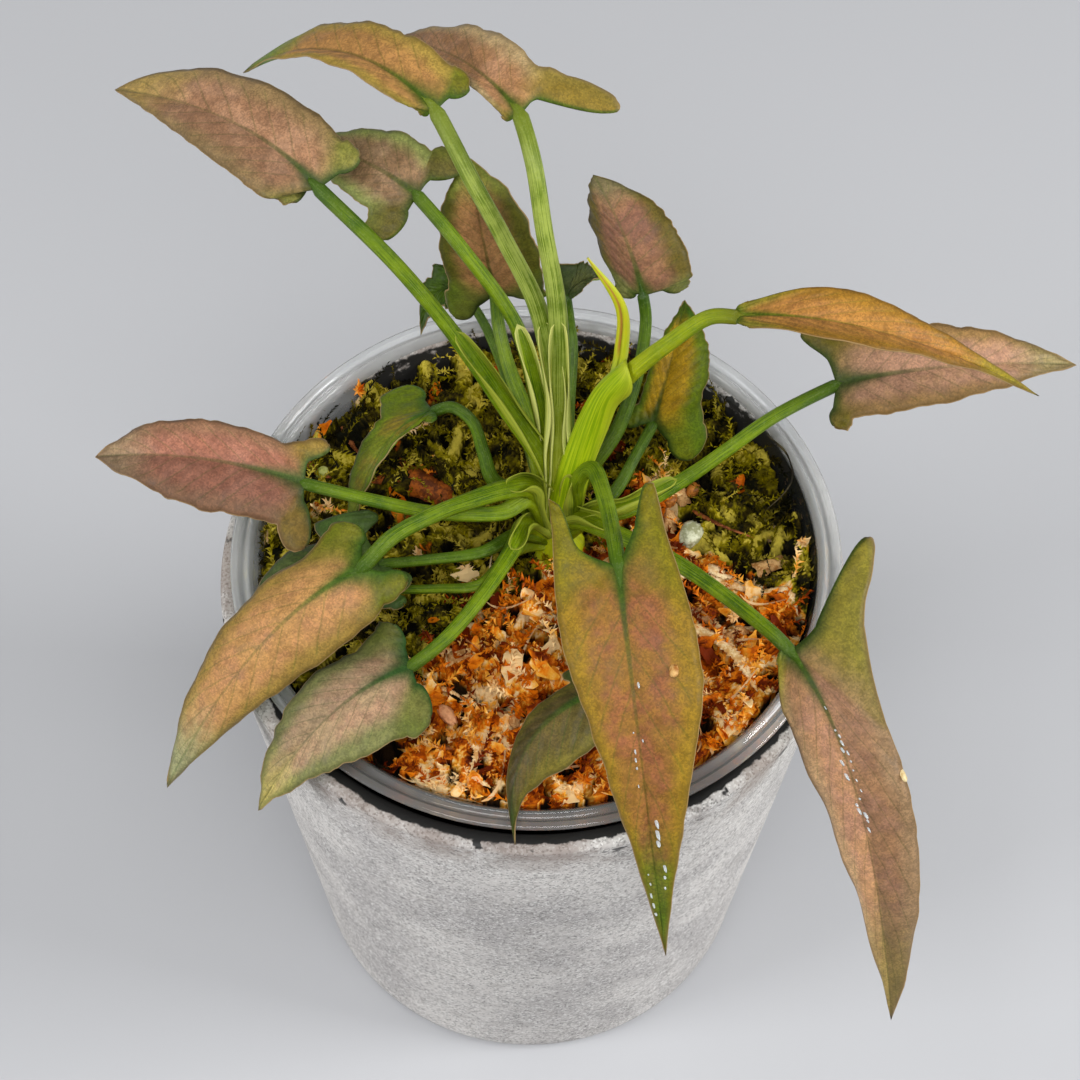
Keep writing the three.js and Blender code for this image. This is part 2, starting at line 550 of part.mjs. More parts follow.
function blade(leaf, seed) {
  const shape = bladeShape(leaf);
  const along = leaf.small ? 8 : 12;
  const round = leaf.small ? 4 : 5;
  const last = along + round;
  const points = [];
  const index = new Map();
  const vertex = (key, p) => {
    if (!index.has(key)) {
      index.set(key, points.length);
      points.push(p);
    }
    return index.get(key);
  };
  const faces = [];
  const edges = [];
  const tangent = shape.midrib.getTangent(0.5);
  for (const k of [0, 1]) {
    const { inner, outer, reach } = bladeHalf(shape, k, along, round);
    const turn = k === 0 ? 1 : -1;
    const up = new THREE.Vector3().crossVectors(reach, tangent).multiplyScalar(turn).normalize();
    const id = (i, j) => {
      if (i === 0) return vertex("tip", shape.tip);
      if (i === last) return vertex(`lobe${k}`, shape.lobe[k][1]);
      if (j === 0) return vertex(i <= along ? `rib${i}` : `notch${k},${i}`, inner[i]);
      const ripple = leaf.wave * Math.sin(1.9 * i + 2.1 * k + seed);
      if (j === 2) return vertex(`rim${k},${i}`, plus(outer[i], up, ripple));
      const swell = 0.05 * reach.length() * Math.min(1, i / 4) - 0.3 * ripple;
      return vertex(`mid${k},${i}`, plus(mix(inner[i], outer[i], 0.52), up, swell));
    };
    for (let i = 0; i < last; i++) {
      for (let j = 0; j < 2; j++) {
        const [a, b, c, d] = [id(i, j), id(i, j + 1), id(i + 1, j + 1), id(i + 1, j)];
        for (const f of [[a, b, c], [a, c, d]]) {
          if (new Set(f).size === 3) faces.push(k === 0 ? f : [f[0], f[2], f[1]]);
        }
      }
    }
  }
  // normals of the sheet, then the sheet on both sides of it and a wall round its edge
  const normals = points.map(() => new THREE.Vector3());
  for (const [a, b, c] of faces) {
    const u = points[b].clone().sub(points[a]);
    const n = u.cross(points[c].clone().sub(points[a]));
    for (const v of [a, b, c]) normals[v].add(n);
  }
  normals.forEach((n) => n.normalize());
  const n = points.length;
  const all = [
    ...points.map((p, i) => plus(p, normals[i], BLADE / 2)),
    ...points.map((p, i) => plus(p, normals[i], -BLADE / 2)),
  ];
  const directed = new Set(faces.flatMap(([a, b, c]) => [`${a},${b}`, `${b},${c}`, `${c},${a}`]));
  for (const key of directed) {
    const [a, b] = key.split(",").map(Number);
    if (!directed.has(`${b},${a}`)) edges.push([a, b]);
  }
  const closed = [
    ...faces,
    ...faces.map(([a, b, c]) => [a + n, c + n, b + n]),
    ...edges.flatMap(([a, b]) => [[b, a, a + n], [b, a + n, b + n]]),
  ];
  return solid(all, closed);
}

// ---------------------------------------------------------------------------------------------
// The whole plant
// ---------------------------------------------------------------------------------------------
add("cover_pot", coverPot(), 0xb5b3af, 0.9);
add("nursery_pot", nurseryPot(), 0xc9ccce, 0.25);
add("moss_bed", mossBed(), 0x8a6a2c, 0.95);
const blades = LEAVES.map((leaf, i) => blade(leaf, 1.3 * i));
add("stem_and_stalks", stemAndStalks(blades), 0x6f9440, 0.5);
add("new_leaf", newLeaf(), 0xc2cc2e, 0.4);
LEAVES.forEach((leaf, i) => add(leaf.name, blades[i], i % 3 === 1 ? 0x9a7a4a : 0x9b7262, 0.5));

export default plant;
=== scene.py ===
# %% [markdown]
# # An arrowhead plant in its pots
# A young arrowhead plant grows in moss, in a clear nursery pot that is dropped into a stone-grey cover
# pot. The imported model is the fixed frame: it gives the places and the sizes. Everything that follows
# dresses that frame, one piece and one finish at a time.

# %% Load the frame
import bpy
import json
import math
import random
import numpy as np
from mathutils import Matrix, Vector
from mathutils.bvhtree import BVHTree


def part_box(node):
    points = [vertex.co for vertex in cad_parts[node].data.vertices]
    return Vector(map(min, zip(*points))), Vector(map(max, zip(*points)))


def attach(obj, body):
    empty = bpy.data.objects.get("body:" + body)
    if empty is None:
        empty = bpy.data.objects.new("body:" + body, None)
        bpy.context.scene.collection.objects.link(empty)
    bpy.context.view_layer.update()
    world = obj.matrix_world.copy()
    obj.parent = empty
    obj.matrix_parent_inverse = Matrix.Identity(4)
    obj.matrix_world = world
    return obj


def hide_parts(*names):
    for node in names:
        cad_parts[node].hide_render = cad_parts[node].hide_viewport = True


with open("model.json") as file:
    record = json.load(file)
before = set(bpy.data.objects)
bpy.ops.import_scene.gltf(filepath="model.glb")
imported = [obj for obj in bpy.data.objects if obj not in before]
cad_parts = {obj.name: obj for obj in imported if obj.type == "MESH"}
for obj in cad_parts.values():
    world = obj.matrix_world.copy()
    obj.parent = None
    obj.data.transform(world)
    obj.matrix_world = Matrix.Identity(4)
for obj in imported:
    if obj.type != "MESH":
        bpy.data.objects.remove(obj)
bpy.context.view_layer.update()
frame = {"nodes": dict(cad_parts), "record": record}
print("nodes in the frame:", len(frame["nodes"]))

# %% [markdown]
# ## Units and helpers
# The frame is in metres, but a plant this small is easier to think about in millimetres. So the numbers
# below are millimetres, and they become metres only where a mesh is made. Heights in the leaf table count
# from the nursery pot's rim, which is the level that all the stalks rise from.

# %% Units and pieces
MM = 0.001
RIM_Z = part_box("nursery_pot")[1].z / MM  # top of the nursery pot's rim above the table
print(f"the rim is {RIM_Z:.1f} mm above the table")


def unit(v):
    return v / np.linalg.norm(v)


def piece_from(name, points, faces, finishes, face_finish=None, **layers):
    """A smooth-shaded mesh object from points in mm. Each layer is a point attribute of 3 numbers a point."""
    mesh = bpy.data.meshes.new(name)
    mesh.from_pydata((np.asarray(points) * MM).tolist(), [], [tuple(f) for f in faces])
    for layer, values in layers.items():
        attribute = mesh.attributes.new(layer, "FLOAT_VECTOR", "POINT")
        attribute.data.foreach_set("vector", np.asarray(values, np.float32).ravel())
    for finish in finishes:
        mesh.materials.append(finish)
    if face_finish is not None:
        mesh.polygons.foreach_set("material_index", np.asarray(face_finish, np.int32))
    mesh.polygons.foreach_set("use_smooth", np.ones(len(mesh.polygons), bool))
    mesh.validate()
    mesh.update()
    piece = bpy.data.objects.new(name, mesh)
    bpy.context.scene.collection.objects.link(piece)
    return piece


def keep(piece, slot, *nodes):
    """The piece rides on the plant's one body and stands for its CAD nodes; the slot is not used."""
    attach(piece, "root")
    if nodes:
        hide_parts(*nodes)
    triangles = sum(len(p.vertices) - 2 for p in piece.data.polygons)
    print(f"{piece.name}: {triangles} triangles")


# %% [markdown]
# ## Tubes and sheets
# Most pieces here are one of two things. A tube is a row of rings, joined ring by ring and closed at both
# ends: a pot, a stalk, a straw or a drop. A sheet is a grid of points that gets a second side and an edge,
# so that it is closed over its own thickness: a blade, a sheath or a scrap of paper.

# %% Tubes and sheets
def turns(sides):
    """The angles at which a ring of so many sides has its points."""
    return [2 * math.pi * s / sides for s in range(sides)]


def tube(rings):
    """Points and faces of a tube through rings of equal point counts, its ends closed."""
    sides = len(rings[0])
    last = (len(rings) - 1) * sides
    faces = []
    for start in range(0, last, sides):
        for s in range(sides):
            p, q = start + s, start + (s + 1) % sides
            faces.append((p, q, q + sides, p + sides))
    faces += [tuple(reversed(range(sides))), tuple(range(last, last + sides))]
    return np.vstack(rings), faces


def turned_round(mesh):
    """The same mesh with the other side of its faces outwards."""
    points, faces = mesh
    return points, [tuple(reversed(face)) for face in faces]


def grid_faces(rows, columns):
    """The quads between the points of a grid that is stored row by row."""
    starts = [i * (columns + 1) + j for i in range(rows) for j in range(columns)]
    return [(p, p + 1, p + columns + 2, p + columns + 1) for p in starts]


def closed_sheet(upper, lower, faces):
    """A sheet with two sides and an edge between them, from the points of both and the upper one's faces."""
    n = len(upper)
    edges = {(f[i - 1], f[i]) for f in faces for i in range(len(f))}
    under = [tuple(i + n for i in reversed(f)) for f in faces]
    edge = [(b, a, a + n, b + n) for a, b in sorted(edges) if (b, a) not in edges]
    return np.vstack([upper, lower]), faces + under + edge


# %% [markdown]
# ## Camera
# The plant is seen from well above, about 59 degrees, with a long lens, so that both the face of the moss
# and the side of the pot show. The camera is built from its place, the point it looks at and a small roll.

# %% Camera
LOOK_AT = Vector((1.0, 4.4, RIM_Z))
CAMERA_ELEVATION = math.radians(59.0)
CAMERA_DISTANCE = 440.0  # from the middle of the rim
CAMERA_ROLL = math.radians(0.9)
LENS_MM = 100.0
SENSOR_MM = 36.0

camera_back = CAMERA_DISTANCE * math.cos(CAMERA_ELEVATION)
camera_at = Vector((0.0, -camera_back, RIM_Z + CAMERA_DISTANCE * math.sin(CAMERA_ELEVATION)))
forward = (LOOK_AT - camera_at).normalized()
level_right = forward.cross(Vector((0, 0, 1))).normalized()
level_up = level_right.cross(forward)
right = math.cos(CAMERA_ROLL) * level_right + math.sin(CAMERA_ROLL) * level_up
turn = Matrix((right, right.cross(forward), -forward)).transposed()
camera_data = bpy.data.cameras.new("camera")
camera_data.lens = LENS_MM
camera_data.sensor_width = SENSOR_MM
camera_data.clip_start = 0.01
camera = bpy.data.objects.new("camera", camera_data)
camera.matrix_world = Matrix.Translation(camera_at * MM) @ turn.to_4x4()
bpy.context.scene.collection.objects.link(camera)
bpy.context.scene.camera = camera
print("camera at", [round(c) for c in camera_at])

# %% [markdown]
# ## Shader helpers
# Every finish is a small tree of nodes. These helpers let it be written like a formula: a Value is one
# output of a node, and a sum, a product, a ramp or a mix of Values adds the node that works it out. A
# socket takes a Value, a number or a colour, which is given by its six hex digits.

# %% Sockets and nodes
def linear(hex_colour):
    """A screen colour such as "9B7060" as the linear colour that shaders use."""
    channels = [int(hex_colour[i : i + 2], 16) / 255 for i in (0, 2, 4)]
    return [c / 12.92 if c <= 0.04045 else ((c + 0.055) / 1.055) ** 2.4 for c in channels] + [1.0]


def plug(tree, value, socket):
    if isinstance(value, Value):
        tree.links.new(value.socket, socket)
    elif isinstance(value, str) and socket.type == "RGBA":
        socket.default_value = linear(value)
    else:
        socket.default_value = value


def node(tree, kind, sockets=None, output=0, **settings):
    """Adds a node, with its sockets and settings, and returns one of its outputs."""
    made = tree.nodes.new(kind)
    for key, value in settings.items():
        setattr(made, key, value)
    for key, value in (sockets or {}).items():
        plug(tree, value, made.inputs[key])
    return Value(tree, made.outputs[output])


class Value:
    """One output of a node, to count with."""

    def __init__(self, tree, socket):
        self.tree = tree
        self.socket = socket

    def maths(self, operation, a, b=0.0):
        return node(self.tree, "ShaderNodeMath", {0: a, 1: b}, operation=operation)

    def __add__(self, other):
        return self.maths("ADD", self, other)

    def __sub__(self, other):
        return self.maths("SUBTRACT", self, other)

    def __rsub__(self, other):
        return self.maths("SUBTRACT", other, self)

    def __mul__(self, other):
        return self.maths("MULTIPLY", self, other)

    def __truediv__(self, other):
        return self.maths("DIVIDE", self, other)

    def __abs__(self):
        return self.maths("ABSOLUTE", self)

    def larger(self, other):
        return self.maths("MAXIMUM", self, other)

    def ramp(self, low, high, to_low=0.0, to_high=1.0, interpolation="SMOOTHSTEP"):
        """A step from to_low to to_high as the value goes from low to high, smooth unless said otherwise."""
        sockets = {"Value": self, "From Min": low, "From Max": high, "To Min": to_low, "To Max": to_high}
        return node(self.tree, "ShaderNodeMapRange", sockets, interpolation_type=interpolation)

    def mix(self, a, b):
        """Colour a, turned into colour b by this share."""
        return node(self.tree, "ShaderNodeMix", {0: self, 6: a, 7: b}, 2, data_type="RGBA")

    def tinted(self, tint):
        """This colour, multiplied by another."""
        return node(self.tree, "ShaderNodeMix", {0: 1.0, 6: self, 7: tint}, 2, data_type="RGBA",
                    blend_type="MULTIPLY")

    def parts(self):
        """The x, y and z of a vector."""
        made = self.tree.nodes.new("ShaderNodeSeparateXYZ")
        plug(self.tree, self, made.inputs[0])
        return [Value(self.tree, socket) for socket in made.outputs]


# %% Places, patterns and finishes
def object_place(tree):
    return node(tree, "ShaderNodeTexCoord", None, "Object")


def marks_of(tree, layer):
    """The three numbers that a mesh keeps at each point in one of its layers."""
    return node(tree, "ShaderNodeAttribute", None, "Vector", attribute_name=layer).parts()


def noise(place, scale, detail=2.0, roughness=0.5):
    sockets = {"Vector": place, "Scale": scale, "Detail": detail, "Roughness": roughness}
    return node(place.tree, "ShaderNodeTexNoise", sockets, "Fac")


def new_finish(name):
    """A new material, and the place on the object that its patterns are read at."""
    material = bpy.data.materials.new(name)
    material.use_nodes = True
    return material, object_place(material.node_tree)


SHADER_SOCKETS = {"specular": "Specular IOR Level", "sheen": "Sheen Weight", "ior": "IOR",
                  "transmission": "Transmission Weight"}


def dress(material, colour, roughness, relief=None, strength=0.0, relief_mm=0.0, **others):
    """Plugs the colour, the roughness, a relief and other plain numbers into the material's shader."""
    tree = material.node_tree
    shader = tree.nodes["Principled BSDF"].inputs
    plug(tree, colour, shader["Base Color"])
    plug(tree, roughness, shader["Roughness"])
    if relief is not None:
        sockets = {"Height": relief, "Strength": strength, "Distance": relief_mm * MM}
        plug(tree, node(tree, "ShaderNodeBump", sockets, "Normal"), shader["Normal"])
    for label, number in others.items():
        shader[SHADER_SOCKETS[label]].default_value = number
    return material


# %% [markdown]
# ## A shared effect: speckle
# Velvet leaves, dry moss and the stone coat all have a grain of lighter and darker specks. One group makes
# it: cells of a chosen size get a random tone each, and a slow noise lets the grain come and go.

# %% Node groups
FLOAT, COLOUR = "NodeSocketFloat", "NodeSocketColor"


def shader_group(name, inputs, outputs):
    """A shader node group with named inputs, each a colour where no number is given, and its input values."""
    group = bpy.data.node_groups.new(name, "ShaderNodeTree")
    for label, default in inputs.items():
        kind = COLOUR if default is None else FLOAT
        socket = group.interface.new_socket(label, in_out="INPUT", socket_type=kind)
        if default is not None:
            socket.default_value = default
    for label in outputs:
        kind = COLOUR if label == "Colour" else FLOAT
        group.interface.new_socket(label, in_out="OUTPUT", socket_type=kind)
    given = {socket.name: Value(group, socket) for socket in group.nodes.new("NodeGroupInput").outputs}
    return group, given, object_place(group)


def put_out(group, **values):
    """Ends a group: links each value to the output of that name."""
    out = group.nodes.new("NodeGroupOutput")
    for label, value in values.items():
        plug(group, value, out.inputs[label])
    print(f"{group.name}: {len(group.nodes)} nodes")


def from_group(group, tree, sockets):
    """Places a group in a tree and returns its outputs by name."""
    made = tree.nodes.new("ShaderNodeGroup")
    made.node_tree = group
    for label, value in sockets.items():
        plug(tree, value, made.inputs[label])
    return {socket.name: Value(tree, socket) for socket in made.outputs}


# %% Speckle group
speckle, given, place = shader_group(
    "speckle",
    {"Colour": None, "Light": None, "Dark": None, "Grain": 2500.0, "Share": 0.2, "Strength": 0.5,
     "Patch": 150.0},
    ("Colour", "Height"),
)
cells = node(speckle, "ShaderNodeTexVoronoi", {"Vector": place, "Scale": given["Grain"]}, "Color")
tone = node(speckle, "ShaderNodeSeparateColor", {"Color": cells})
share = given["Share"] * noise(place, given["Patch"], 3.0).ramp(0.3, 0.7, 0.5, 1.0)
lit = tone.maths("LESS_THAN", tone, share)
sunk = tone.maths("GREATER_THAN", tone, 1.0 - share)
lighter = (lit * given["Strength"]).mix(given["Colour"], given["Light"])
put_out(speckle, Colour=(sunk * given["Strength"]).mix(lighter, given["Dark"]), Height=lit - sunk)


def speckled(tree, colour, light, dark, grain, share, strength, patch):
    """The colour with its grain, and the grain's height. Grain and patch count cells in a metre."""
    made = from_group(speckle, tree, {"Colour": colour, "Light": light, "Dark": dark, "Grain": grain,
                                      "Share": share, "Strength": strength, "Patch": patch})
    return made["Colour"], made["Height"]


# %% [markdown]
# ## Light and floor
# Two wide soft boxes stand low at the sides, which gives the faint shadows on both sides of the pot, and a
# larger one hangs overhead. The floor is a plain pale sheet. The view transform is Standard, so that a
# colour set in a finish comes out as that colour under full light.

# %% Light
def soft_box(name, at, aim, side, watts):
    """A square lamp. Places and sizes of the studio are in metres."""
    light = bpy.data.lights.new(name, "AREA")
    light.shape = "SQUARE"
    light.size = side
    light.energy = watts
    lamp = bpy.data.objects.new(name, light)
    lamp.location = at
    lamp.rotation_euler = (Vector(aim) - Vector(at)).to_track_quat("-Z", "Y").to_euler()
    bpy.context.scene.collection.objects.link(lamp)


soft_box("box_right", (0.85, -0.14, 0.50), (0, 0, 0.08), 0.35, 6.1)
soft_box("box_left", (-0.85, -0.34, 0.50), (0, 0, 0.08), 0.35, 4.4)
soft_box("box_overhead", (0.0, -0.42, 1.0), (0, 0, 0.1), 0.6, 6.0)
world = bpy.data.worlds.new("studio")
world.use_nodes = True
room = world.node_tree.nodes["Background"].inputs
room["Color"].default_value = (0.97, 0.98, 1.0, 1.0)
room["Strength"].default_value = 0.26
bpy.context.scene.world = world
bpy.context.scene.view_settings.view_transform = "Standard"
print("soft boxes:", len(bpy.data.lights))

# %% Floor
FLOOR_REACH = 1600.0
floor_finish = bpy.data.materials.new("floor_paper")
floor_finish.use_nodes = True
dress(floor_finish, "BFC0C3", 0.85)
floor_corners = [(FLOOR_REACH * x, FLOOR_REACH * y, 0) for x, y in ((-1, -1), (1, -1), (1, 1), (-1, 1))]
piece_from("floor", floor_corners, [(0, 1, 2, 3)], [floor_finish])

# %% [markdown]
# ## The cover pot
# The real pot has a black body with a coat of crushed grey stone. The coat has worn off at the lip and in
# a few chips, and watering has left a brown tide mark under the lip. A turned body needs only its profile,
# swept round in enough steps to look round: the CAD solid has 48 sides and this one has 160.

# %% Turned bodies
POT_SIDES = 160
AXIS_R = 0.2  # where a profile starts and ends, close to the axis


def turned(name, profile, centre, finish):
    """A closed body of revolution from (radius, height) points in mm that run from axis to axis."""
    rings = [[(centre[0] + radius * math.cos(a), centre[1] + radius * math.sin(a), height)
              for a in turns(POT_SIDES)] for radius, height in profile]
    return piece_from(name, *tube(rings), [finish])


def arc(centre, radius, start_deg, end_deg, steps):
    """Points of a circular arc in a profile, for rounded edges."""
    angles = [math.radians(start_deg + (end_deg - start_deg) * i / steps) for i in range(steps + 1)]
    return [(centre[0] + radius * math.cos(a), centre[1] + radius * math.sin(a)) for a in angles]


# %% Stone coat
COVER_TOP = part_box("cover_pot")[1].z / MM
COVER_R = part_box("cover_pot")[1].x / MM
COVER_FOOT_R = 36.0
FOOT_RISE = 6.0  # height at which the rounded foot turns into the wall


def stone_coat():
    material, place = new_finish("stone_coat")
    tree = material.node_tree
    x, y, height = place.parts()
    flat = node(tree, "ShaderNodeCombineXYZ", {"X": x, "Y": y})
    radius = node(tree, "ShaderNodeVectorMath", {0: flat}, "Value", operation="LENGTH")
    ragged = noise(place, 320.0, 5.0, 0.65)
    # the stone: two greys in clouds, with light and dark grit
    stone = noise(place, 60.0, 4.0, 0.6).ramp(0.35, 0.68).mix("D2CECA", "B4B0AE")
    stone, coarse_grit = speckled(tree, stone, "E4E2DE", "7D7B78", 2100.0, 0.24, 0.36, 150.0)
    stone, _ = speckled(tree, stone, "F4F3F0", "5B5957", 3600.0, 0.18, 0.5, 240.0)
    # the tide mark under the lip, and faint smudges all over
    tide = height.ramp((COVER_TOP - 11) * MM, (COVER_TOP - 1) * MM)
    tide = tide * noise(place, 85.0, 5.0, 0.7).ramp(0.38, 0.62)
    stained = (tide * 0.6).mix(stone, "786458")
    stained = noise(place, 210.0, 4.0, 0.7).ramp(0.54, 0.7, 0.0, 0.22).mix(stained, "7D7670")
    # where the coat is gone: inside, on the inner half of the lip except at the back, and in chips
    outer = height.ramp(FOOT_RISE * MM, COVER_TOP * MM, COVER_FOOT_R * MM, COVER_R * MM, "LINEAR")
    depth = outer - radius + ragged * (2.0 * MM)
    whole_coat = (x * 0.5 - y).ramp(-12 * MM, 22 * MM, 1.6 * MM, 0.0)
    inside = (depth - whole_coat).ramp(2.2 * MM, 2.5 * MM) * height.ramp(8 * MM, 9 * MM)
    near_lip = height.ramp((COVER_TOP - 7) * MM, (COVER_TOP - 0.5) * MM)
    bare = inside.larger(near_lip * noise(place, 260.0, 3.0, 0.5).ramp(0.63, 0.66))
    relief = coarse_grit + ragged * 2.5 - bare * 3.0
    return dress(material, bare.mix(stained, "1B1A19"), bare.ramp(0.0, 1.0, 0.92, 0.55), relief, 0.4, 0.08)


# %% Cover pot
FOOT_FLAT_R = 33.0
FOOT_ROUND_R = COVER_FOOT_R - FOOT_FLAT_R
LIP_WALL = 3.2
LIP_ROUND = 1.0
INSIDE_FOOT = [(31.5, 12.0), (28.0, 7.0), (AXIS_R, 7.0)]

foot_arc = [(FOOT_FLAT_R + FOOT_ROUND_R * math.sin(a), FOOT_RISE * (1 - math.cos(a)))
            for a in np.linspace(0.15, math.pi / 2, 7)]
side = [(COVER_FOOT_R + (COVER_R - 0.1 - COVER_FOOT_R) * k, FOOT_RISE + (COVER_TOP - 7.2) * k)
        for k in (0.25, 0.5, 0.75)]
lip = arc((COVER_R - LIP_ROUND, COVER_TOP - LIP_ROUND), LIP_ROUND, 0, 90, 5)
lip += [(COVER_R - LIP_WALL + 0.5, COVER_TOP), (COVER_R - LIP_WALL, COVER_TOP - 0.6)]
cover_profile = [(AXIS_R, 0.0), (FOOT_FLAT_R, 0.0)] + foot_arc + side + lip + INSIDE_FOOT
keep(turned("stone_cover_pot", cover_profile, (0.0, 0.0), stone_coat()), "cover_pot", "cover_pot")

# %% [markdown]
# ## The nursery pot
# It is the thin clear pot that the plant was sold in. Its flat rim with two rounded beads rests on the
# cover pot's lip. Clear plastic is a real refracting wall here, a little cloudy. Below the rim it takes
# brown specks of dirt and a painted shade, a dark colour that stands for the dark inside of the cover pot
# behind it. The painted shade is strongest at the front and the right, and the front is painted darker up to
# the rim.

# %% Clear plastic
pot_low, pot_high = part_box("nursery_pot")
NURSERY_XY = ((pot_low.x + pot_high.x) / 2 / MM, (pot_low.y + pot_high.y) / 2 / MM)
NURSERY_R = (pot_high.x - pot_low.x) / 2 / MM
NURSERY_BASE = pot_low.z / MM
NURSERY_BASE_R = 29.0
WALL_TOP_R = 42.3
WALL = 0.8
UNDER_RIM = COVER_TOP + 0.3


def wall_radius(z):
    return NURSERY_BASE_R + (WALL_TOP_R - NURSERY_BASE_R) * (z - NURSERY_BASE) / (RIM_Z - NURSERY_BASE)


def clear_plastic():
    material, place = new_finish("clear_plastic")
    x, y, height = place.parts()
    below_rim = height.ramp((RIM_Z - 1.7) * MM, (RIM_Z - 0.7) * MM, 1.0, 0.0)
    low_down = height.ramp((RIM_Z - 5.5) * MM, (RIM_Z - 2.5) * MM, 1.0, 0.0)
    specks = noise(place, 620.0, 3.0, 0.6).ramp(0.62, 0.66)
    dirt = below_rim * (specks * low_down.ramp(0.0, 1.0, 0.45, 1.0))
    # painted shade below the rim, for the dark inside of the cover pot behind the wall, strongest at the
    # front and the right
    shade_by_side = (x * 0.7 - y).ramp(-26 * MM, 6 * MM, 0.1, 1.0)
    painted_shade = below_rim * shade_by_side.larger(low_down * 0.3)
    # the front of the plastic is painted darker at every height: painted shade, for the dark below the front
    # of the rim
    clear = y.ramp(-36 * MM, -20 * MM, 0.7, 0.0).mix("FAFBFC", "78746E")
    shaded_plastic = (painted_shade * 0.96).mix(clear, "23251E")
    cloudy = noise(place, 140.0, 4.0, 0.6).ramp(0.35, 0.7, 0.03, 0.16)
    scratches = noise(place, 420.0, 2.0, 0.5)
    return dress(material, dirt.mix(shaded_plastic, "8C6E50"), cloudy + dirt * 0.4, scratches, 0.1, 0.05,
                 transmission=0.72, ior=1.46)


# %% Nursery pot
BEAD = 0.4  # radius of the two beads on the rim
OUTER_BEAD_R, INNER_BEAD_R = NURSERY_R - 0.95, NURSERY_R - 2.6
floor_top = NURSERY_BASE + WALL

nursery_profile = (
    [(AXIS_R, NURSERY_BASE), (NURSERY_BASE_R, NURSERY_BASE), (wall_radius(UNDER_RIM), UNDER_RIM)]
    + [(NURSERY_R - 0.3, UNDER_RIM)]
    + arc((NURSERY_R - 0.5, UNDER_RIM + 0.5), 0.5, 0, 90, 4)
    + arc((OUTER_BEAD_R, RIM_Z - BEAD), BEAD, 60, 150, 4)
    + [(NURSERY_R - 1.6, RIM_Z - 0.6), (NURSERY_R - 2.0, RIM_Z - 0.6)]
    + arc((INNER_BEAD_R, RIM_Z - BEAD), BEAD, 40, 150, 5)
    + [(WALL_TOP_R - WALL, RIM_Z - 0.9), (wall_radius(NURSERY_BASE + 1.5) - WALL, NURSERY_BASE + 1.5)]
    + [(wall_radius(floor_top) - WALL - 0.6, floor_top), (AXIS_R, floor_top)]
)
keep(turned("clear_nursery_pot", nursery_profile, NURSERY_XY, clear_plastic()), "nursery_pot", "nursery_pot")

# %% [markdown]
# ## The leaves
# Each leaf is one entry in a table, the same that the solids are made from: its stalk, then base, middle
# and tip of its midrib, then the right and the left half. A half has the point where the blade is widest
# and the barb that gives the arrowhead its name: a point of its outer edge, its end, and a point of its
# notch. The looks are the colours of the middle, a second tint, the margin, the barbs, the dark star
# where the stalk comes in, and the tip. Whatever else a leaf needs has a usual value, which its entry may
# change: how far up the stalk its sheath reaches, the form of its margins, and the paint, which gives the
# painted light and shade of its two halves and how large its star is.

# %% Leaf table
LOOKS = ("Middle", "Tint", "Margin", "Lobes", "Star", "Tip")
USUAL = {"sheath": 0.0, "small": False, "slender": 0.18, "start": (0.1, 0.1), "widest": (0.3, 0.3),
         "waist": (0.9, 0.9), "full": (2.2, 2.2), "taper": (0.2, 0.2), "paint": {}}


def placed(point):
    """A point of the table, moved up from the rim's level to its height above the table."""
    return np.array(point, float) + (0, 0, RIM_Z)


def leaf(node_name, r, wave, stalk, base, mid, tip, right, right_lobe, left, left_lobe, looks, **extra):
    """r is the stalk's radius and wave the height of the margin's waves, both in mm."""
    return {**USUAL, "node": node_name, "r": r, "wave": wave, "stalk": [placed(p) for p in stalk],
            "base": placed(base), "mid": placed(mid), "tip": placed(tip),
            "edge": (placed(right), placed(left)),
            "lobe": [[placed(p) for p in lobe] for lobe in (right_lobe, left_lobe)],
            "looks": dict(zip(LOOKS, looks.split())), **extra}


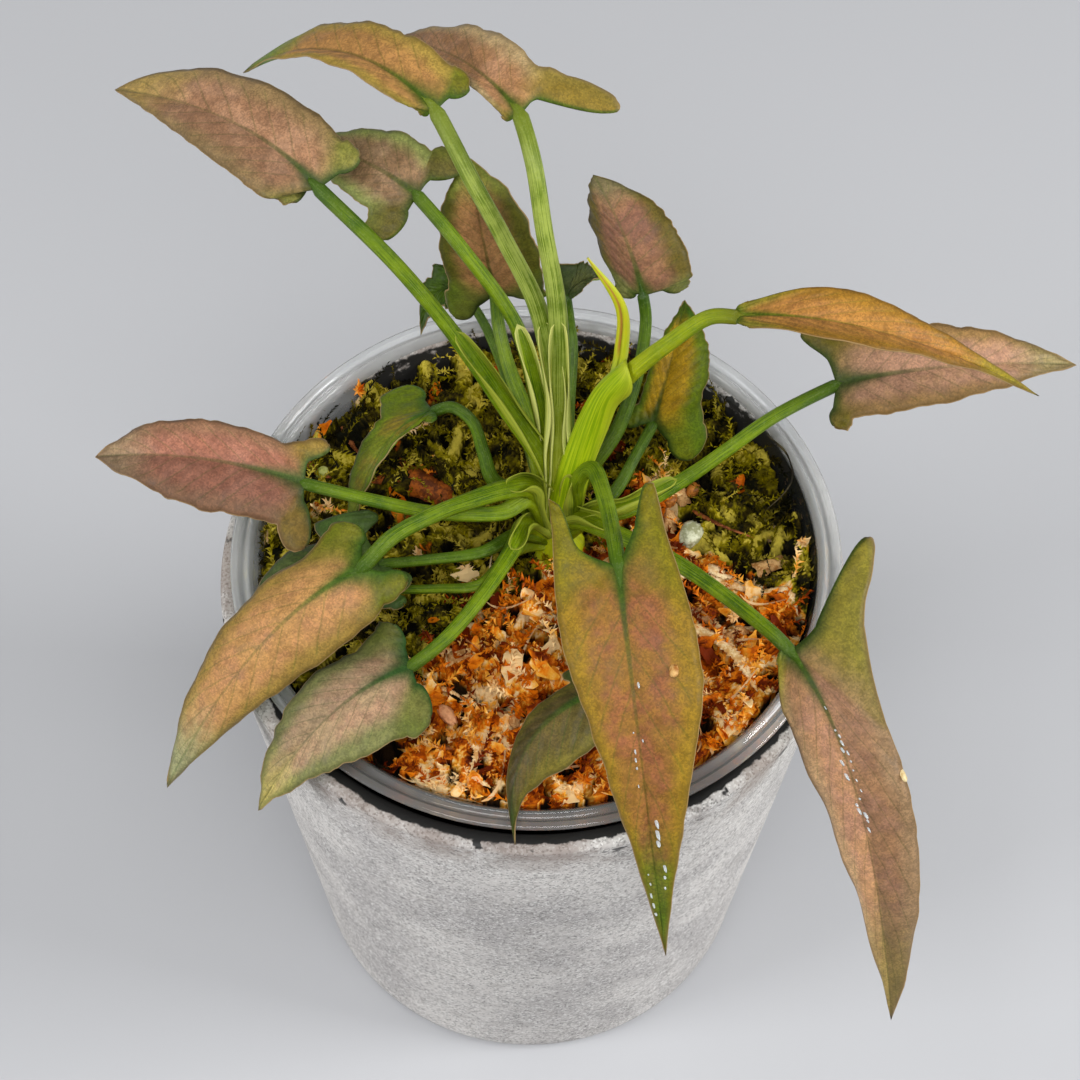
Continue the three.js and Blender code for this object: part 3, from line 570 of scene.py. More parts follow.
LEAVES = [
    leaf("leaf_01_back_left", 1.25, 0.3,
         [[2, 11.5, 8], [-4.5, 17, 17], [-12, 22, 28], [-20, 26.5, 38]],
         [-30.5, 34, 45], [-43.5, 45, 46], [-62.5, 60.5, 34],
         [-33.5, 47, 48], [[-27, 41, 46.5], [-25, 38.5, 46], [-27.5, 36.5, 45.5]],
         [-41, 35, 44.5], [[-36, 33, 43.5], [-34, 33, 43], [-32.5, 35, 43.5]],
         "9B7355 AA8264 917850 787D32 3C501E A58C4B",
         sheath=0.5, full=(4.5, 2.2), taper=(0.1, 0.2), start=(0.1, 0.2),
         paint={"Right Painted Light": 1.1, "Left Painted Light": 0.8}),
    leaf("leaf_02_back_high", 1.35, 0.25,
         [[3, 12, 9], [3, 16, 20], [0.5, 21, 34], [-4.5, 25.5, 45], [-9, 29.5, 53]],
         [-14, 37.5, 58], [-28, 49.5, 56], [-43, 59, 40],
         [-17.5, 49, 60], [[-11, 43.5, 59.5], [-9.5, 41, 58.5], [-12, 39.5, 58.5]],
         [-25, 43, 58.5], [[-17, 38, 58], [-16, 37.5, 57], [-15, 37.5, 57.5]],
         "AA7D46 A57846 A0873C 5A6405 3C550A 5F8714",
         sheath=0.42, full=(9, 2), taper=(0.05, 0.2), paint={"Star Size": 1.3}),
    leaf("leaf_03_back_high_right", 1.35, 0.25,
         [[4, 12, 9], [3.5, 16, 20], [3, 20, 36], [1, 24, 49], [-0.5, 29, 57]],
         [-2.5, 35.5, 60], [-11.5, 49.5, 55], [-22.5, 67, 38],
         [-4, 48.5, 60], [[4.5, 42.5, 59.5], [11, 39.5, 56], [0.5, 38.5, 59.5]],
         [-8.5, 41, 58], [[-5, 36.5, 58.5], [-4.5, 36, 58], [-3.5, 35.5, 59]],
         "AA7D55 B48764 B9A073 78690F 3E550A 82644B",
         sheath=0.42, waist=(1, 0.9), full=(2.2, 2), start=(0.1, 0.2)),
    leaf("leaf_04_back_middle", 1.15, 0.25,
         [[2.5, 13.5, 8], [0.5, 18.5, 16], [-3, 25, 26], [-10.5, 30.5, 36]],
         [-17, 37, 40], [-25.5, 42.5, 41], [-35, 52, 33],
         [-18.5, 45.5, 43], [[-14, 44, 42], [-10.5, 42, 40], [-15, 39.5, 40.5]],
         [-25, 36, 39], [[-24, 34, 37.5], [-21.5, 32, 36], [-18.5, 35, 38.5]],
         "8C6E50 A08264 919B55 50500A 3C4B0F 5A5528",
         sheath=0.5, full=(1.6, 2), start=(0.1, 0.25)),
    leaf("leaf_05_back_upright", 1.1, 0.2,
         [[1, 13.5, 5], [-1, 20.5, 8], [-4, 28, 11], [-5.5, 33, 14]],
         [-6, 36, 18], [-8, 39, 29], [-10, 45.5, 38],
         [0.5, 35.5, 28], [[1, 36, 19], [0.5, 36, 17], [-3, 36, 17.5]],
         [-14, 37, 26], [[-13, 36, 18.5], [-12, 36, 12], [-9, 36, 14.5]],
         "916941 966E41 4B500A 5F731E 3C4B14 A0AA46",
         full=(3.5, 2.8), start=(0.2, 0.1)),
    leaf("leaf_06_back_small", 0.9, 0.1,
         [[4.5, 14.5, 5], [5, 24.5, 7], [5.5, 31, 11], [5, 34, 14]],
         [4.5, 35.5, 18], [6.5, 37.5, 19], [10, 39, 18],
         [7.5, 37, 19], [[6.5, 36, 18.5], [5.5, 35.5, 18], [5, 35.5, 18]],
         [6, 39.5, 21], [[3.5, 38.5, 22], [2.5, 37, 21.5], [3.5, 36, 19]],
         "41461E 4B5028 374119 37461E 2D3C0F 374119",
         small=True, start=(0.2, 0.3)),
    leaf("leaf_07_back_right", 1.0, 0.2,
         [[7, 11, 6], [12, 16.5, 11], [15, 23.5, 16], [16, 28.5, 21]],
         [15.5, 31, 25], [12.5, 36.5, 32], [8, 45, 35],
         [21.5, 35.5, 30], [[22, 33, 26], [21, 32.5, 24], [18.5, 32, 25]],
         [8, 41, 28], [[11.5, 35, 23], [13, 33, 22], [14.5, 32, 24]],
         "825A46 91694B 5F5519 697337 415519 736E4B",
         waist=(1, 0.9), full=(3.6, 1.7), taper=(0.15, 0.1)),
    leaf("leaf_08_right_high", 1.5, 0.15,
         [[6, 10.5, 10], [9.5, 13, 23], [13.5, 12.5, 32], [19, 12.5, 40], [23.5, 13, 44.5]],
         [27.5, 13, 45], [47, 9, 47], [71, 12, 28],
         [43.5, 5.5, 49], [[29.5, 10, 46.5], [28.5, 11, 45.5], [27.5, 12, 45]],
         [42.5, 14, 50], [[29.5, 14.5, 46.5], [28, 14.5, 45.5], [27.5, 14, 45]],
         "AA7837 A06E37 91691E 78781E 4B5F05 91871E",
         sheath=0.45, slender=0.4, widest=(0.42, 0.36), waist=(0.3, 0.3), full=(1.6, 1.5), taper=(0.5, 0.35),
         start=(0.2, 0.2), paint={"Right Painted Light": 0.83, "Left Painted Light": 1.08}),
    leaf("leaf_09_right_low", 1.15, 0.25,
         [[8.5, 5.5, 5], [14, 5, 8], [21.5, 7.5, 12], [27.5, 10, 16], [34.5, 13.5, 20]],
         [43.5, 18.5, 21], [60, 19, 25], [78.5, 23, 20],
         [52.5, 12.5, 23], [[45, 11.5, 20.5], [43, 12.5, 19], [43, 15, 19.5]],
         [51.5, 24.5, 27], [[42, 25, 23.5], [38.5, 26.5, 22], [42, 22.5, 22]],
         "A57D64 AF8764 87693C 5F5A0A 3C4B1E 877D50",
         sheath=0.42, full=(1.9, 2.4), taper=(0.15, 0.1),
         paint={"Right Painted Light": 0.95, "Left Painted Light": 1.2, "Star Size": 1.2}),
    leaf("leaf_10_inner_right", 0.95, 0.15,
         [[8.5, 8, 3], [12, 10, 5], [15, 15, 7]],
         [17.5, 20, 8], [20, 27, 14], [22, 36, 17],
         [25.5, 24.5, 14], [[25, 19.5, 8.5], [23.5, 16.5, 4], [20, 18, 6]],
         [16.5, 26, 12], [[14.5, 22, 8.5], [13.5, 20.5, 7], [15.5, 20, 7.5]],
         "9B780A AF8C14 556E00 556E0F 32460A 23500A",
         waist=(1, 0.9), full=(2, 2)),
    leaf("leaf_11_left", 1.1, 0.3,
         [[-0.5, 7.5, 6], [-5, 4, 8], [-13.5, 2, 11], [-22, 2.5, 13]],
         [-33, 5, 14], [-48, 7, 17], [-64, 11.5, 10],
         [-46, 12.5, 18.5], [[-32.5, 11, 16], [-29.5, 10.5, 15], [-32.5, 8, 15]],
         [-46.5, -0.5, 15], [[-36, -3, 12.5], [-32.5, -4, 11], [-33, 2, 13]],
         "915F4B 9B6955 87644B 826E28 3C501E 917D5F",
         widest=(0.42, 0.42), waist=(0.75, 0.95), full=(2.8, 1.7), taper=(0.1, 0.1),
         paint={"Right Painted Light": 1.2, "Left Painted Light": 0.75, "Star Size": 1.25}),
    leaf("leaf_12_front_left", 1.3, 0.3,
         [[0, 8.5, 7], [-4, 5.5, 12], [-9, 1, 16], [-13.5, -3, 19], [-19.5, -7.5, 20]],
         [-24, -11.5, 18], [-38.5, -21, 11], [-52.5, -31, -12],
         [-38.5, -12, 13], [[-28.5, -4.5, 17], [-25, -4.5, 18], [-24, -7.5, 18]],
         [-26, -21, 13], [[-20.5, -16, 16], [-17.5, -13, 17], [-20.5, -12, 17.5]],
         "B48750 B48255 8C7332 5A6900 3C5A14 8C966E",
         sheath=0.3, full=(3, 1.7), start=(0.1, 0.15), paint={"Star Size": 1.2}),
    leaf("leaf_13_low_left", 1.15, 0.25,
         [[-1, 5, 3], [-3, -1, 6], [-7.5, -11, 9], [-12, -18, 10]],
         [-17, -21.5, 8], [-28.5, -29, 6], [-38.5, -37.5, -6],
         [-30, -22, 7], [[-22, -16, 8.5], [-19.5, -15.5, 9], [-18, -18.5, 8.5]],
         [-20.5, -34, 7], [[-17, -32, 7], [-14, -29, 7], [-16, -24.5, 7.5]],
         "A58C6B AA876B 6E7341 646E28 2D501E B4AA5A",
         sheath=0.35, full=(2.3, 1.6), start=(0.1, 0.25),
         paint={"Right Painted Light": 0.83, "Left Painted Light": 1.08, "Star Size": 1.4}),
    leaf("leaf_14_inner_left", 1.0, 0.15,
         [[-2, 9.5, 3], [-6, 11, 6], [-7.5, 14, 9], [-9, 17, 12], [-12, 19, 13]],
         [-15, 19, 12], [-22.5, 11, 12.5], [-27, 3, 0],
         [-24, 15.5, 12], [[-22.5, 21, 11], [-19, 25, 9.5], [-16.5, 22, 10.5]],
         [-20.5, 11, 14.5], [[-16.5, 16.5, 13], [-15, 16, 13.5], [-14.5, 17.5, 13]],
         "697319 7D6E23 5A6E14 64780F 416414 5A6E14",
         widest=(0.4, 0.4), full=(2.6, 1.5), start=(0.3, 0.3)),
    leaf("leaf_15_under_left", 0.9, 0.15,
         [[-2, 3.5, 3], [-7.5, -1.5, 6], [-15.5, -3.5, 7]],
         [-22, -3.5, 6], [-30.5, -5.5, 7], [-40.5, -6.5, 1],
         [-34, -0.5, 5], [[-31.5, 3, 5.5], [-24, 4.5, 7], [-24.5, 1.5, 6.5]],
         [-27, -10, 5], [[-20, -8, 5], [-17.5, -6.5, 6], [-19.5, -5, 6]],
         "4B5A28 5A5F32 46552A 465F28 374B19 414B28",
         small=True, widest=(0.5, 0.3), start=(0.3, 0.1)),
    leaf("leaf_16_hidden_left", 0.8, 0.1,
         [[-2.5, 2, 1], [-7.5, -5, 3], [-13.5, -6.5, 4]],
         [-20, -6, 3], [-24, -8.5, 3], [-29, -11, 1],
         [-25.5, -6, 3], [[-21, -4.5, 3], [-19, -4.5, 3], [-19.5, -5, 3]],
         [-23.5, -10.5, 3], [[-20, -9, 2.5], [-18.5, -8, 2], [-19, -7, 2.5]],
         "50692D 5A6E32 46602A 46602A 3C5519 46552A",
         small=True),
    leaf("leaf_17_front", 1.25, 0.25,
         [[5.5, 8, 3], [6.5, 7.5, 12], [8.5, 4.5, 19], [10, -4.5, 25], [11, -13, 29]],
         [11.5, -18, 30], [14.5, -39, 20], [19, -59, -6],
         [3.5, -26.5, 27], [[2.5, -12.5, 32], [3, -10, 33], [6, -16, 31]],
         [23, -32.5, 25], [[17, -10.5, 32], [15.5, -6.5, 33], [14, -12, 31.5]],
         "8C6428 915A37 917319 6E6E00 375008 416905",
         sheath=0.28, widest=(0.18, 0.3), waist=(0.97, 0.9), full=(1.5, 1.8), taper=(0.35, 0.45),
         paint={"Right Painted Light": 1.02, "Left Painted Light": 0.95}),
    leaf("leaf_18_front_right", 1.2, 0.45,
         [[6, 6, 3], [11, 0.5, 9], [20, -7.5, 14], [26.5, -14.5, 17], [32.5, -21, 18.5]],
         [35.5, -24, 18], [45, -41.5, 8], [52.5, -59, -28],
         [36.5, -34, 10], [[34, -26, 16], [34, -24.5, 17.5], [34.5, -24, 18]],
         [50, -36, 13], [[45.5, -19, 19], [46.5, -8, 22], [39.5, -20, 19]],
         "A07855 9B735A A0825F 827D0F 32460F 82733C",
         sheath=0.3, waist=(0.5, 0.9), full=(1.8, 3), start=(0.2, 0.22),
         paint={"Right Painted Light": 1.4, "Left Painted Light": 0.78, "Star Size": 1.35}),
    leaf("leaf_19_front_small", 0.85, 0.15,
         [[4.5, 4, 1], [7, -5, 6], [8.5, -16.5, 10]],
         [9.5, -26, 10], [-0.5, -35, 9.5], [-2, -45.5, 0.5],
         [1, -28.5, 10], [[4.5, -24, 9.5], [7.5, -22, 9.5], [9, -24.5, 10]],
         [5.5, -36.5, 7], [[10, -32.5, 7], [11, -28.5, 9], [10.5, -27, 9.5]],
         "554B1E 5F5028 6E6423 4B5F2D 32500F 233C05",
         small=True, full=(2.4, 1.3), taper=(0.1, 0.4), paint={"Right Painted Light": 0.6, "Left Painted Light": 1.1}),
    leaf("leaf_20_back_low", 0.8, 0.1,
         [[-0.5, 18.5, 3], [-3, 26, 5], [-6.5, 34.5, 8], [-9.5, 39.5, 10]],
         [-12.5, 41, 12], [-15.5, 41, 10], [-17.5, 39, 3],
         [-16.5, 43, 12], [[-15.5, 44, 13.5], [-14, 44, 14], [-12.5, 42.5, 13.5]],
         [-14, 38, 12], [[-13.5, 37.5, 12.5], [-12, 37.5, 12.5], [-12, 39.5, 12.5]],
         "3C5505 465F0A 375005 375005 2D4100 375005",
         small=True, start=(0.2, 0.25)),
]
print("leaves:", len(LEAVES))

# %% [markdown]
# ## The shape of a blade
# A blade is two halves that meet at the midrib. Each half is a strip of stations: from the tip down to
# the base of the midrib, and then on round the barb. Every station has an inner point, on the midrib or in
# the notch, and an outer point on the margin, and the rows between them are bowed, so that the midrib lies
# in a shallow valley.

# %% Curves
def midrib_point(leaf, t):
    """A point of the midrib, a quadratic curve through base, mid and tip. t is one number or many."""
    base, mid, tip = leaf["base"], leaf["mid"], leaf["tip"]
    control = 2 * mid - (base + tip) / 2
    t = np.asarray(t, float)[..., None]
    return (1 - t) ** 2 * base + 2 * t * (1 - t) * control + t ** 2 * tip


def spline(points, t):
    """A smooth curve through points (uniform Catmull-Rom), t from 0 to 1."""
    p = np.array([2 * points[0] - points[1], *points, 2 * points[-1] - points[-2]])
    at = np.clip(np.asarray(t, float), 0, 1) * (len(points) - 1)
    i = np.minimum(at.astype(int), len(points) - 2)
    u = (at - i)[..., None]
    a, b, c, d = p[i], p[i + 1], p[i + 2], p[i + 3]
    return b + 0.5 * u * (c - a + u * (2 * a - 5 * b + 4 * c - d + u * (3 * (b - c) + d - a)))


def direction_of(curve, t, step):
    return unit(spline(curve, min(t + step, 1)) - spline(curve, max(t - step, 0)))


def width_share(leaf, k, t):
    """How wide half k of the blade is at t along the midrib, as a share of its widest."""
    widest = leaf["widest"][k]
    u = np.clip((t - widest) / (1 - widest), 0, 1)
    beyond = (1 - u ** leaf["full"][k]) * (1 - leaf["taper"][k] * u)
    before = 1 - (1 - leaf["waist"][k]) * (np.clip(widest - t, 0, 1) / widest) ** 2
    return np.where(t > widest, beyond, before)


def reach_of(leaf, k):
    """From the midrib to where half k is widest."""
    return leaf["edge"][k] - midrib_point(leaf, leaf["widest"][k])


# %% One half of a blade
BARB_ROUND_FROM = 0.45  # the share of a barb's length at which its end starts to round off


def fill_out(share):
    """How much wider than a pointed barb a rounded one is, at this share of its length."""
    u = np.clip((share - BARB_ROUND_FROM) / (1 - BARB_ROUND_FROM), 0, 1)
    return np.where(u < 1, np.sqrt(1 - u * u) / np.maximum(1 - u, 1e-9), 1)


def blade_half(leaf, k, along, round_lobe):
    """Inner points and outer points of half k (0 right, 1 left), station by station."""
    start = leaf["start"][k]

    def margin(t):
        share = width_share(leaf, k, np.asarray(t, float))[..., None]
        return midrib_point(leaf, t) + share * reach_of(leaf, k)

    ear, end, notch = leaf["lobe"][k]
    rim = [margin(start + 0.12), margin(start), ear, end]
    a = 1 - np.arange(along + 1) / along
    b = np.sin(np.pi * np.arange(1, round_lobe + 1) / (2 * round_lobe))  # closer steps towards the end
    notch_side, rim_side = spline([leaf["base"], notch, end], b), spline(rim, (1 + 2 * b) / 3)
    centre = (notch_side + rim_side) / 2
    fill = fill_out(b)[:, None]
    inner = np.vstack([midrib_point(leaf, a), centre + (notch_side - centre) * fill])
    outer = np.vstack([margin(start + (1 - start) * a), centre + (rim_side - centre) * fill])
    return inner, outer


# %% [markdown]
# ## From strips to a leaf
# The two strips share the points of the midrib. The sheet is then given two faces, an edge and, below, the
# rib that the stalk runs out into. Each point keeps where it is on the blade, as an attribute: how far out
# from the midrib, from -1 to 1, how far along, and how wide the blade is there. The colours are painted
# from that.

# %% Blade sheet
SOLID_STEPS = {False: (12, 5), True: (8, 4)}  # stations of the CAD solid's strips: along, round the barb
FINER = 4  # stations here for each one of the solid's
COLUMNS = 9  # faces from the midrib to the margin
BASE_AT = 0.3  # how far along the blade the midrib starts: the barbs take up the part before it
CRINKLE = 0.17  # how far the margin wanders
QUILTING = 0.07  # height of the pillows between side veins


def point_key(i, j, k, along, last):
    """What a point of the sheet is known by, so that the halves share the tip and the midrib."""
    if i == 0:
        return "tip"
    if i == last:
        return f"lobe{k}"
    return f"rib{i}" if j == 0 and i <= along else (k, i, j)


def blade_sheet(leaf, seed):
    """Points, faces and blade coordinates of the leaf's one-sided sheet."""
    along, round_lobe = (steps * FINER for steps in SOLID_STEPS[leaf["small"]])
    last = along + round_lobe
    points, coordinates, faces, known = [], [], [], {}
    tangent = unit(midrib_point(leaf, 0.51) - midrib_point(leaf, 0.49))
    rng = np.random.default_rng(100 + int(seed * 10))
    for k in (0, 1):
        inner, outer = blade_half(leaf, k, along, round_lobe)
        reach = reach_of(leaf, k)
        up = unit(np.cross(reach, tangent)) * (1 if k == 0 else -1)
        crinkle = np.convolve(rng.normal(0, 1, last + 5), [0.25, 0.5, 0.25], "same")[: last + 1] * CRINKLE
        ids = np.zeros((last + 1, COLUMNS + 1), int)
        for i in range(last + 1):
            station = i / FINER
            ripple = leaf["wave"] * math.sin(1.9 * station + 2.1 * k + seed)
            swell = 0.05 * np.linalg.norm(reach) * min(1, station / 4) - 0.3 * ripple
            fade = min(1.0, i / 6, (last - i) / 4)
            outwards = outer[i] - inner[i]
            width = np.linalg.norm(outwards)
            v = BASE_AT * (1 - (i - along) / round_lobe)
            if i <= along:
                v = BASE_AT + 0.7 * (1 - i / along)
            for j in range(COLUMNS + 1):
                c = (j / COLUMNS) ** 1.2
                key = point_key(i, j, k, along, last)
                if key not in known:
                    known[key] = len(points)
                    lift = 4 * c * (1 - c) * swell + ripple * c ** 3
                    pillow = math.sin(2 * math.pi * (station - 1.6 * c) / 1.3) * math.sin(math.pi * c)
                    push = crinkle[i] * c ** 4 * fade / max(width, 0.5)
                    points.append(inner[i] + outwards * (c + push) + up * (lift + QUILTING * pillow * fade))
                    coordinates.append((c if k == 0 else -c, v, width))
                ids[i, j] = known[key]
        for i in range(last):
            for j in range(COLUMNS):
                quad = [ids[i, j], ids[i, j + 1], ids[i + 1, j + 1], ids[i + 1, j]]
                corners = [q for n, q in enumerate(quad) if q != quad[n - 1]]
                if len(corners) > 2:
                    faces.append(tuple(reversed(corners) if k == 0 else corners))
    return np.array(points), faces, np.array(coordinates)


def normals_of(points, faces):
    """Unit normals at the points of a sheet."""
    normals = np.zeros_like(points)
    for face in faces:
        a, b, c = points[face[0]], points[face[1]], points[face[-1]]
        normals[list(face)] += np.cross(b - a, c - a)
    return normals / np.maximum(np.linalg.norm(normals, axis=1), 1e-9)[:, None]


# %% Blade mesh
BLADE_MM = 0.42  # thickness of a blade
RIB_SHARE = 0.55  # height of the rib below, as a share of the stalk's radius
GROOVE_MM = 0.16  # depth of the groove over the midrib


def make_blade(leaf, seed, top_finish, under_finish):
    points, faces, blade = blade_sheet(leaf, seed)
    normals = normals_of(points, faces)
    across, v, width = blade.T
    out_mm = np.abs(across) * width
    on_blade = (v >= BASE_AT).astype(float)
    t = np.clip((v - BASE_AT) / 0.7, 0, 1)
    rib = on_blade * RIB_SHARE * leaf["r"] * (1 - t) ** 0.8 * np.exp(-((out_mm / (0.9 - 0.4 * t)) ** 2))
    groove = on_blade * GROOVE_MM * (1 - t) ** 0.5 * np.exp(-((out_mm / 0.45) ** 2))
    half = BLADE_MM / 2 * np.clip((1 - np.abs(across)) * width / 0.5, 0.35, 1)  # thinner at the margin
    top = points + normals * (half - groove)[:, None]
    under = points - normals * (half + rib)[:, None]
    both, closed = closed_sheet(top, under, faces)
    sides = [0] * len(faces) + [1] * len(faces) + [0] * (len(closed) - 2 * len(faces))
    name = leaf["node"].replace("leaf", "blade")
    return piece_from(name, both, closed, [top_finish, under_finish], sides, blade=np.vstack([blade, blade]))


# %% [markdown]
# ## The colours of a blade
# The blades are dusky pink to bronze in the middle and olive towards the margin. A green star spreads from
# the stalk, the barbs are greener, and fine side veins leave the midrib towards the margin. The light falls
# on the two halves of a folded leaf in different ways, so each half is painted lighter or darker: painted
# light and shade. One group paints all of that from the blade attribute, and each leaf gives it its own
# colours. The surface is velvety: a fine grain of pale specks, and a soft sheen.

# %% Blade colour group
blade_paint, given, place = shader_group(
    "blade_paint",
    {**{look: None for look in LOOKS}, "Margin Width": 0.45, "Star Size": 1.0, "Tip Reach": 0.18,
     "Vein Strength": 0.8, "Right Painted Light": 1.0, "Left Painted Light": 1.0},
    ("Colour", "Height", "Roughness"),
)
across, along_blade, half_width = marks_of(blade_paint, "blade")
out_share = abs(across)
out_mm = out_share * half_width
slow = noise(place, 130.0, 3.0, 0.55)
quick = noise(place, 620.0, 4.0, 0.6)
wander = (slow - 0.5) * 0.9 + (quick - 0.5) * 0.35
# middle and margin
coloured = noise(place, 220.0, 4.0, 0.6).ramp(0.4, 0.65).mix(given["Middle"], given["Tint"])
margin_mask = (out_share + wander * 0.5 - (1.0 - given["Margin Width"])).ramp(-0.12, 0.3)
coloured = (margin_mask * 0.92).mix(coloured, given["Margin"])
# barbs, tip and the star at the stalk
lobe_mask = (along_blade + wander * 0.12).ramp(0.22, 0.36, 1.0, 0.0)
coloured = (lobe_mask * 0.85).mix(coloured, given["Lobes"])
tip_mask = (along_blade + wander * 0.15 - (1.0 - given["Tip Reach"])).ramp(-0.06, 0.12)
coloured = (tip_mask * 0.85).mix(coloured, given["Tip"])
above_base = (along_blade - BASE_AT).larger(0.0)
below_base = (BASE_AT - along_blade).larger(0.0)
star_distance = above_base * 5.0 + below_base * 3.2 + out_mm * 0.42 + wander * 0.5
star_mask = (star_distance / given["Star Size"]).ramp(0.2, 1.1, 1.0, 0.0)
coloured = (star_mask * 0.95).mix(coloured, given["Star"])
# veins: the midrib, and side veins that lean towards the tip
rib_line = (out_mm / along_blade.ramp(BASE_AT, 0.75, 0.62, 0.26)).ramp(0.35, 1.15, 1.0, 0.0)
lean = along_blade - out_share * 0.13
wave = lean * 13.0 + slow * 0.5
from_vein = abs(wave.maths("FRACT", wave) - 0.5)
side_line = from_vein.ramp(0.0, 0.09, 1.0, 0.0) * out_share.ramp(0.75, 0.95, 1.0, 0.0)
side_line = side_line * along_blade.ramp(BASE_AT, 0.4)
vein = (rib_line * along_blade.ramp(BASE_AT, 0.7, 1.0, 0.4)).larger(side_line * 0.4)
coloured = (vein * given["Vein Strength"]).mix(coloured, given["Star"])
# the painted light and shade of each half, mottling and the velvet grain
half_painted_light = across.ramp(-0.12, 0.12, given["Left Painted Light"], given["Right Painted Light"])
mottle = quick.ramp(0.3, 0.7, 0.84, 1.16) * half_painted_light
grey = node(blade_paint, "ShaderNodeCombineColor", {"Red": mottle, "Green": mottle, "Blue": mottle})
coloured = coloured.tinted(grey)
lightened = coloured.tinted((1.45, 1.38, 1.3, 1.0))
darkened = coloured.tinted((0.66, 0.66, 0.6, 1.0))
coloured, grain_height = speckled(blade_paint, coloured, lightened, darkened, 4200.0, 0.45, 0.42, 260.0)
# a darker band inside the margin, and the thin papery line that ends it
from_edge = (1.0 - out_share) * half_width
shaded = from_edge.ramp(0.1, 1.1, 0.55, 0.0).mix(coloured, given["Margin"].tinted((0.5, 0.5, 0.4, 1.0)))
rimmed = (from_edge.ramp(0.04, 0.2, 1.0, 0.0) * 0.7).mix(shaded, "AA8C5F")
pillows = from_vein.ramp(0.0, 0.5) * out_share.ramp(0.6, 1.0, 1.0, 0.0)
relief = pillows * 0.8 + quick * 0.5 + grain_height * 0.12
put_out(blade_paint, Colour=rimmed, Height=relief, Roughness=quick.ramp(0.3, 0.7, 0.42, 0.62))


# %% Blade finishes
def blade_finish(leaf):
    material, place = new_finish(leaf["node"].replace("leaf", "velvet"))
    paint = from_group(blade_paint, place.tree, {**leaf["looks"], **leaf["paint"]})
    return dress(material, paint["Colour"], paint["Roughness"], paint["Height"], 0.5, 0.18,
                 sheen=0.03, specular=0.2)


def underside_finish():
    material, place = new_finish("leaf_underside")
    green = noise(place, 240.0, 4.0, 0.6).ramp(0.35, 0.7).mix("6E8C28", "869B3C")
    green, _ = speckled(place.tree, green, "B4BE6E", "4B641E", 3200.0, 0.25, 0.3, 300.0)
    return dress(material, green, 0.5, noise(place, 1500.0, 3.0, 0.6), 0.3, 0.1)


underside = underside_finish()
slots = {part["node"]: part["material_slot"] for part in frame["record"]["subparts"]}
blades = {}
for number, plant_leaf in enumerate(LEAVES):
    name = plant_leaf["node"]
    blades[name] = make_blade(plant_leaf, 1.3 * number, blade_finish(plant_leaf), underside)
    keep(blades[name], slots[name], name)

# %% [markdown]
# ## Stalks
# The long stalks are round, with a shallow channel on the upper side, and thicken towards the stem. Each
# is swept along the same curve as its solid, with a frame whose upper side faces the sky and the plant's
# middle. It ends under the base of its blade, where the blade's own rib takes over.

# %% Stalks
STEM_XY = (3.5, 6.5)
STALK_SIDES, STALK_RINGS = 18, 66
CHANNEL = 0.13  # depth of the channel, as a share of the radius


def stalk_curve(leaf):
    """From deep in the stem, through the table's points, to just under the base of the midrib."""
    return [np.array([*STEM_XY, RIM_Z - 4]), *leaf["stalk"], leaf["base"] - np.array([0, 0, 0.25])]


def frame_on(points, t):
    """Point, side and upper direction of a stalk at t."""
    at = spline(points, t)
    tangent = direction_of(points, t, 0.01)
    inward = np.array([STEM_XY[0] - at[0], STEM_XY[1] - at[1], 0.0])
    wish = np.array([0, 0, 1.0]) + 0.6 * inward / max(np.linalg.norm(inward), 1e-6)
    up = unit(wish - wish.dot(tangent) * tangent)
    return at, np.cross(up, tangent), up


def stalk_mesh(leaf):
    """The stalk, tapered along the first part of the midrib, so that it runs out into the blade."""
    curve = stalk_curve(leaf) + [midrib_point(leaf, t) - (0, 0, 0.2) for t in (0.07, 0.16)]
    joint = (len(curve) - 3) / (len(curve) - 1)
    length = sum(np.linalg.norm(curve[i + 1] - curve[i]) for i in range(len(curve) - 1))
    rings, marks = [], []
    for i in range(STALK_RINGS + 1):
        t = i / STALK_RINGS
        at, side, up = frame_on(curve, t)
        swell = 1 + 0.55 * max(0, 1 - t / 0.45)
        narrow = 1 - leaf["slender"] * t
        close = 1 - 0.92 * max(0.0, (t - joint) / (1 - joint)) ** 0.4
        ring = []
        for w in turns(STALK_SIDES):
            channel = 1 - CHANNEL * math.exp(-(((w - math.pi / 2) / 0.45) ** 2))
            a = leaf["r"] * swell * narrow * close * channel * math.cos(w)
            b = leaf["r"] * 0.92 * narrow * close * channel * math.sin(w)
            ring.append(at + side * a + up * b)
            marks.append((w / (2 * math.pi), t, t * length))
        rings.append(ring)
    return *tube(rings), marks


# %% [markdown]
# ## Stalk finish
# Fresh stalks are streaked along their length: fine darker lines, lighter ribs and small pale specks. The
# streaks are noise that is stretched along the stalk, read from the stalk's own attribute, so they follow
# each bend. Near the stem the green turns to yellow, and near the blade to the green of its star.

# %% Stalk colour group
stalk_paint, given, place = shader_group(
    "stalk_paint", {"Light": None, "Dark": None, "Foot": None, "End": None, "Foot Reach": 0.35},
    ("Colour", "Height"),
)
around, up_stalk, stalk_mm = marks_of(stalk_paint, "stalk")
turn = around * (2 * math.pi)
streak_place = node(stalk_paint, "ShaderNodeCombineXYZ", {
    "X": turn.maths("COSINE", turn) * 3.4, "Y": turn.maths("SINE", turn) * 3.4, "Z": stalk_mm * 0.045})
streaks = noise(streak_place, 3.2, 3.0, 0.6)
blotches = noise(place, 260.0, 3.0, 0.6)
green = (streaks * 0.7 + blotches * 0.4).ramp(0.44, 0.64).mix(given["Dark"], given["Light"])
green = (up_stalk.ramp(0.05, given["Foot Reach"], 1.0, 0.0) * 0.8).mix(green, given["Foot"])
green = up_stalk.ramp(0.55, 0.76, 0.0, 0.9).mix(green, given["End"])
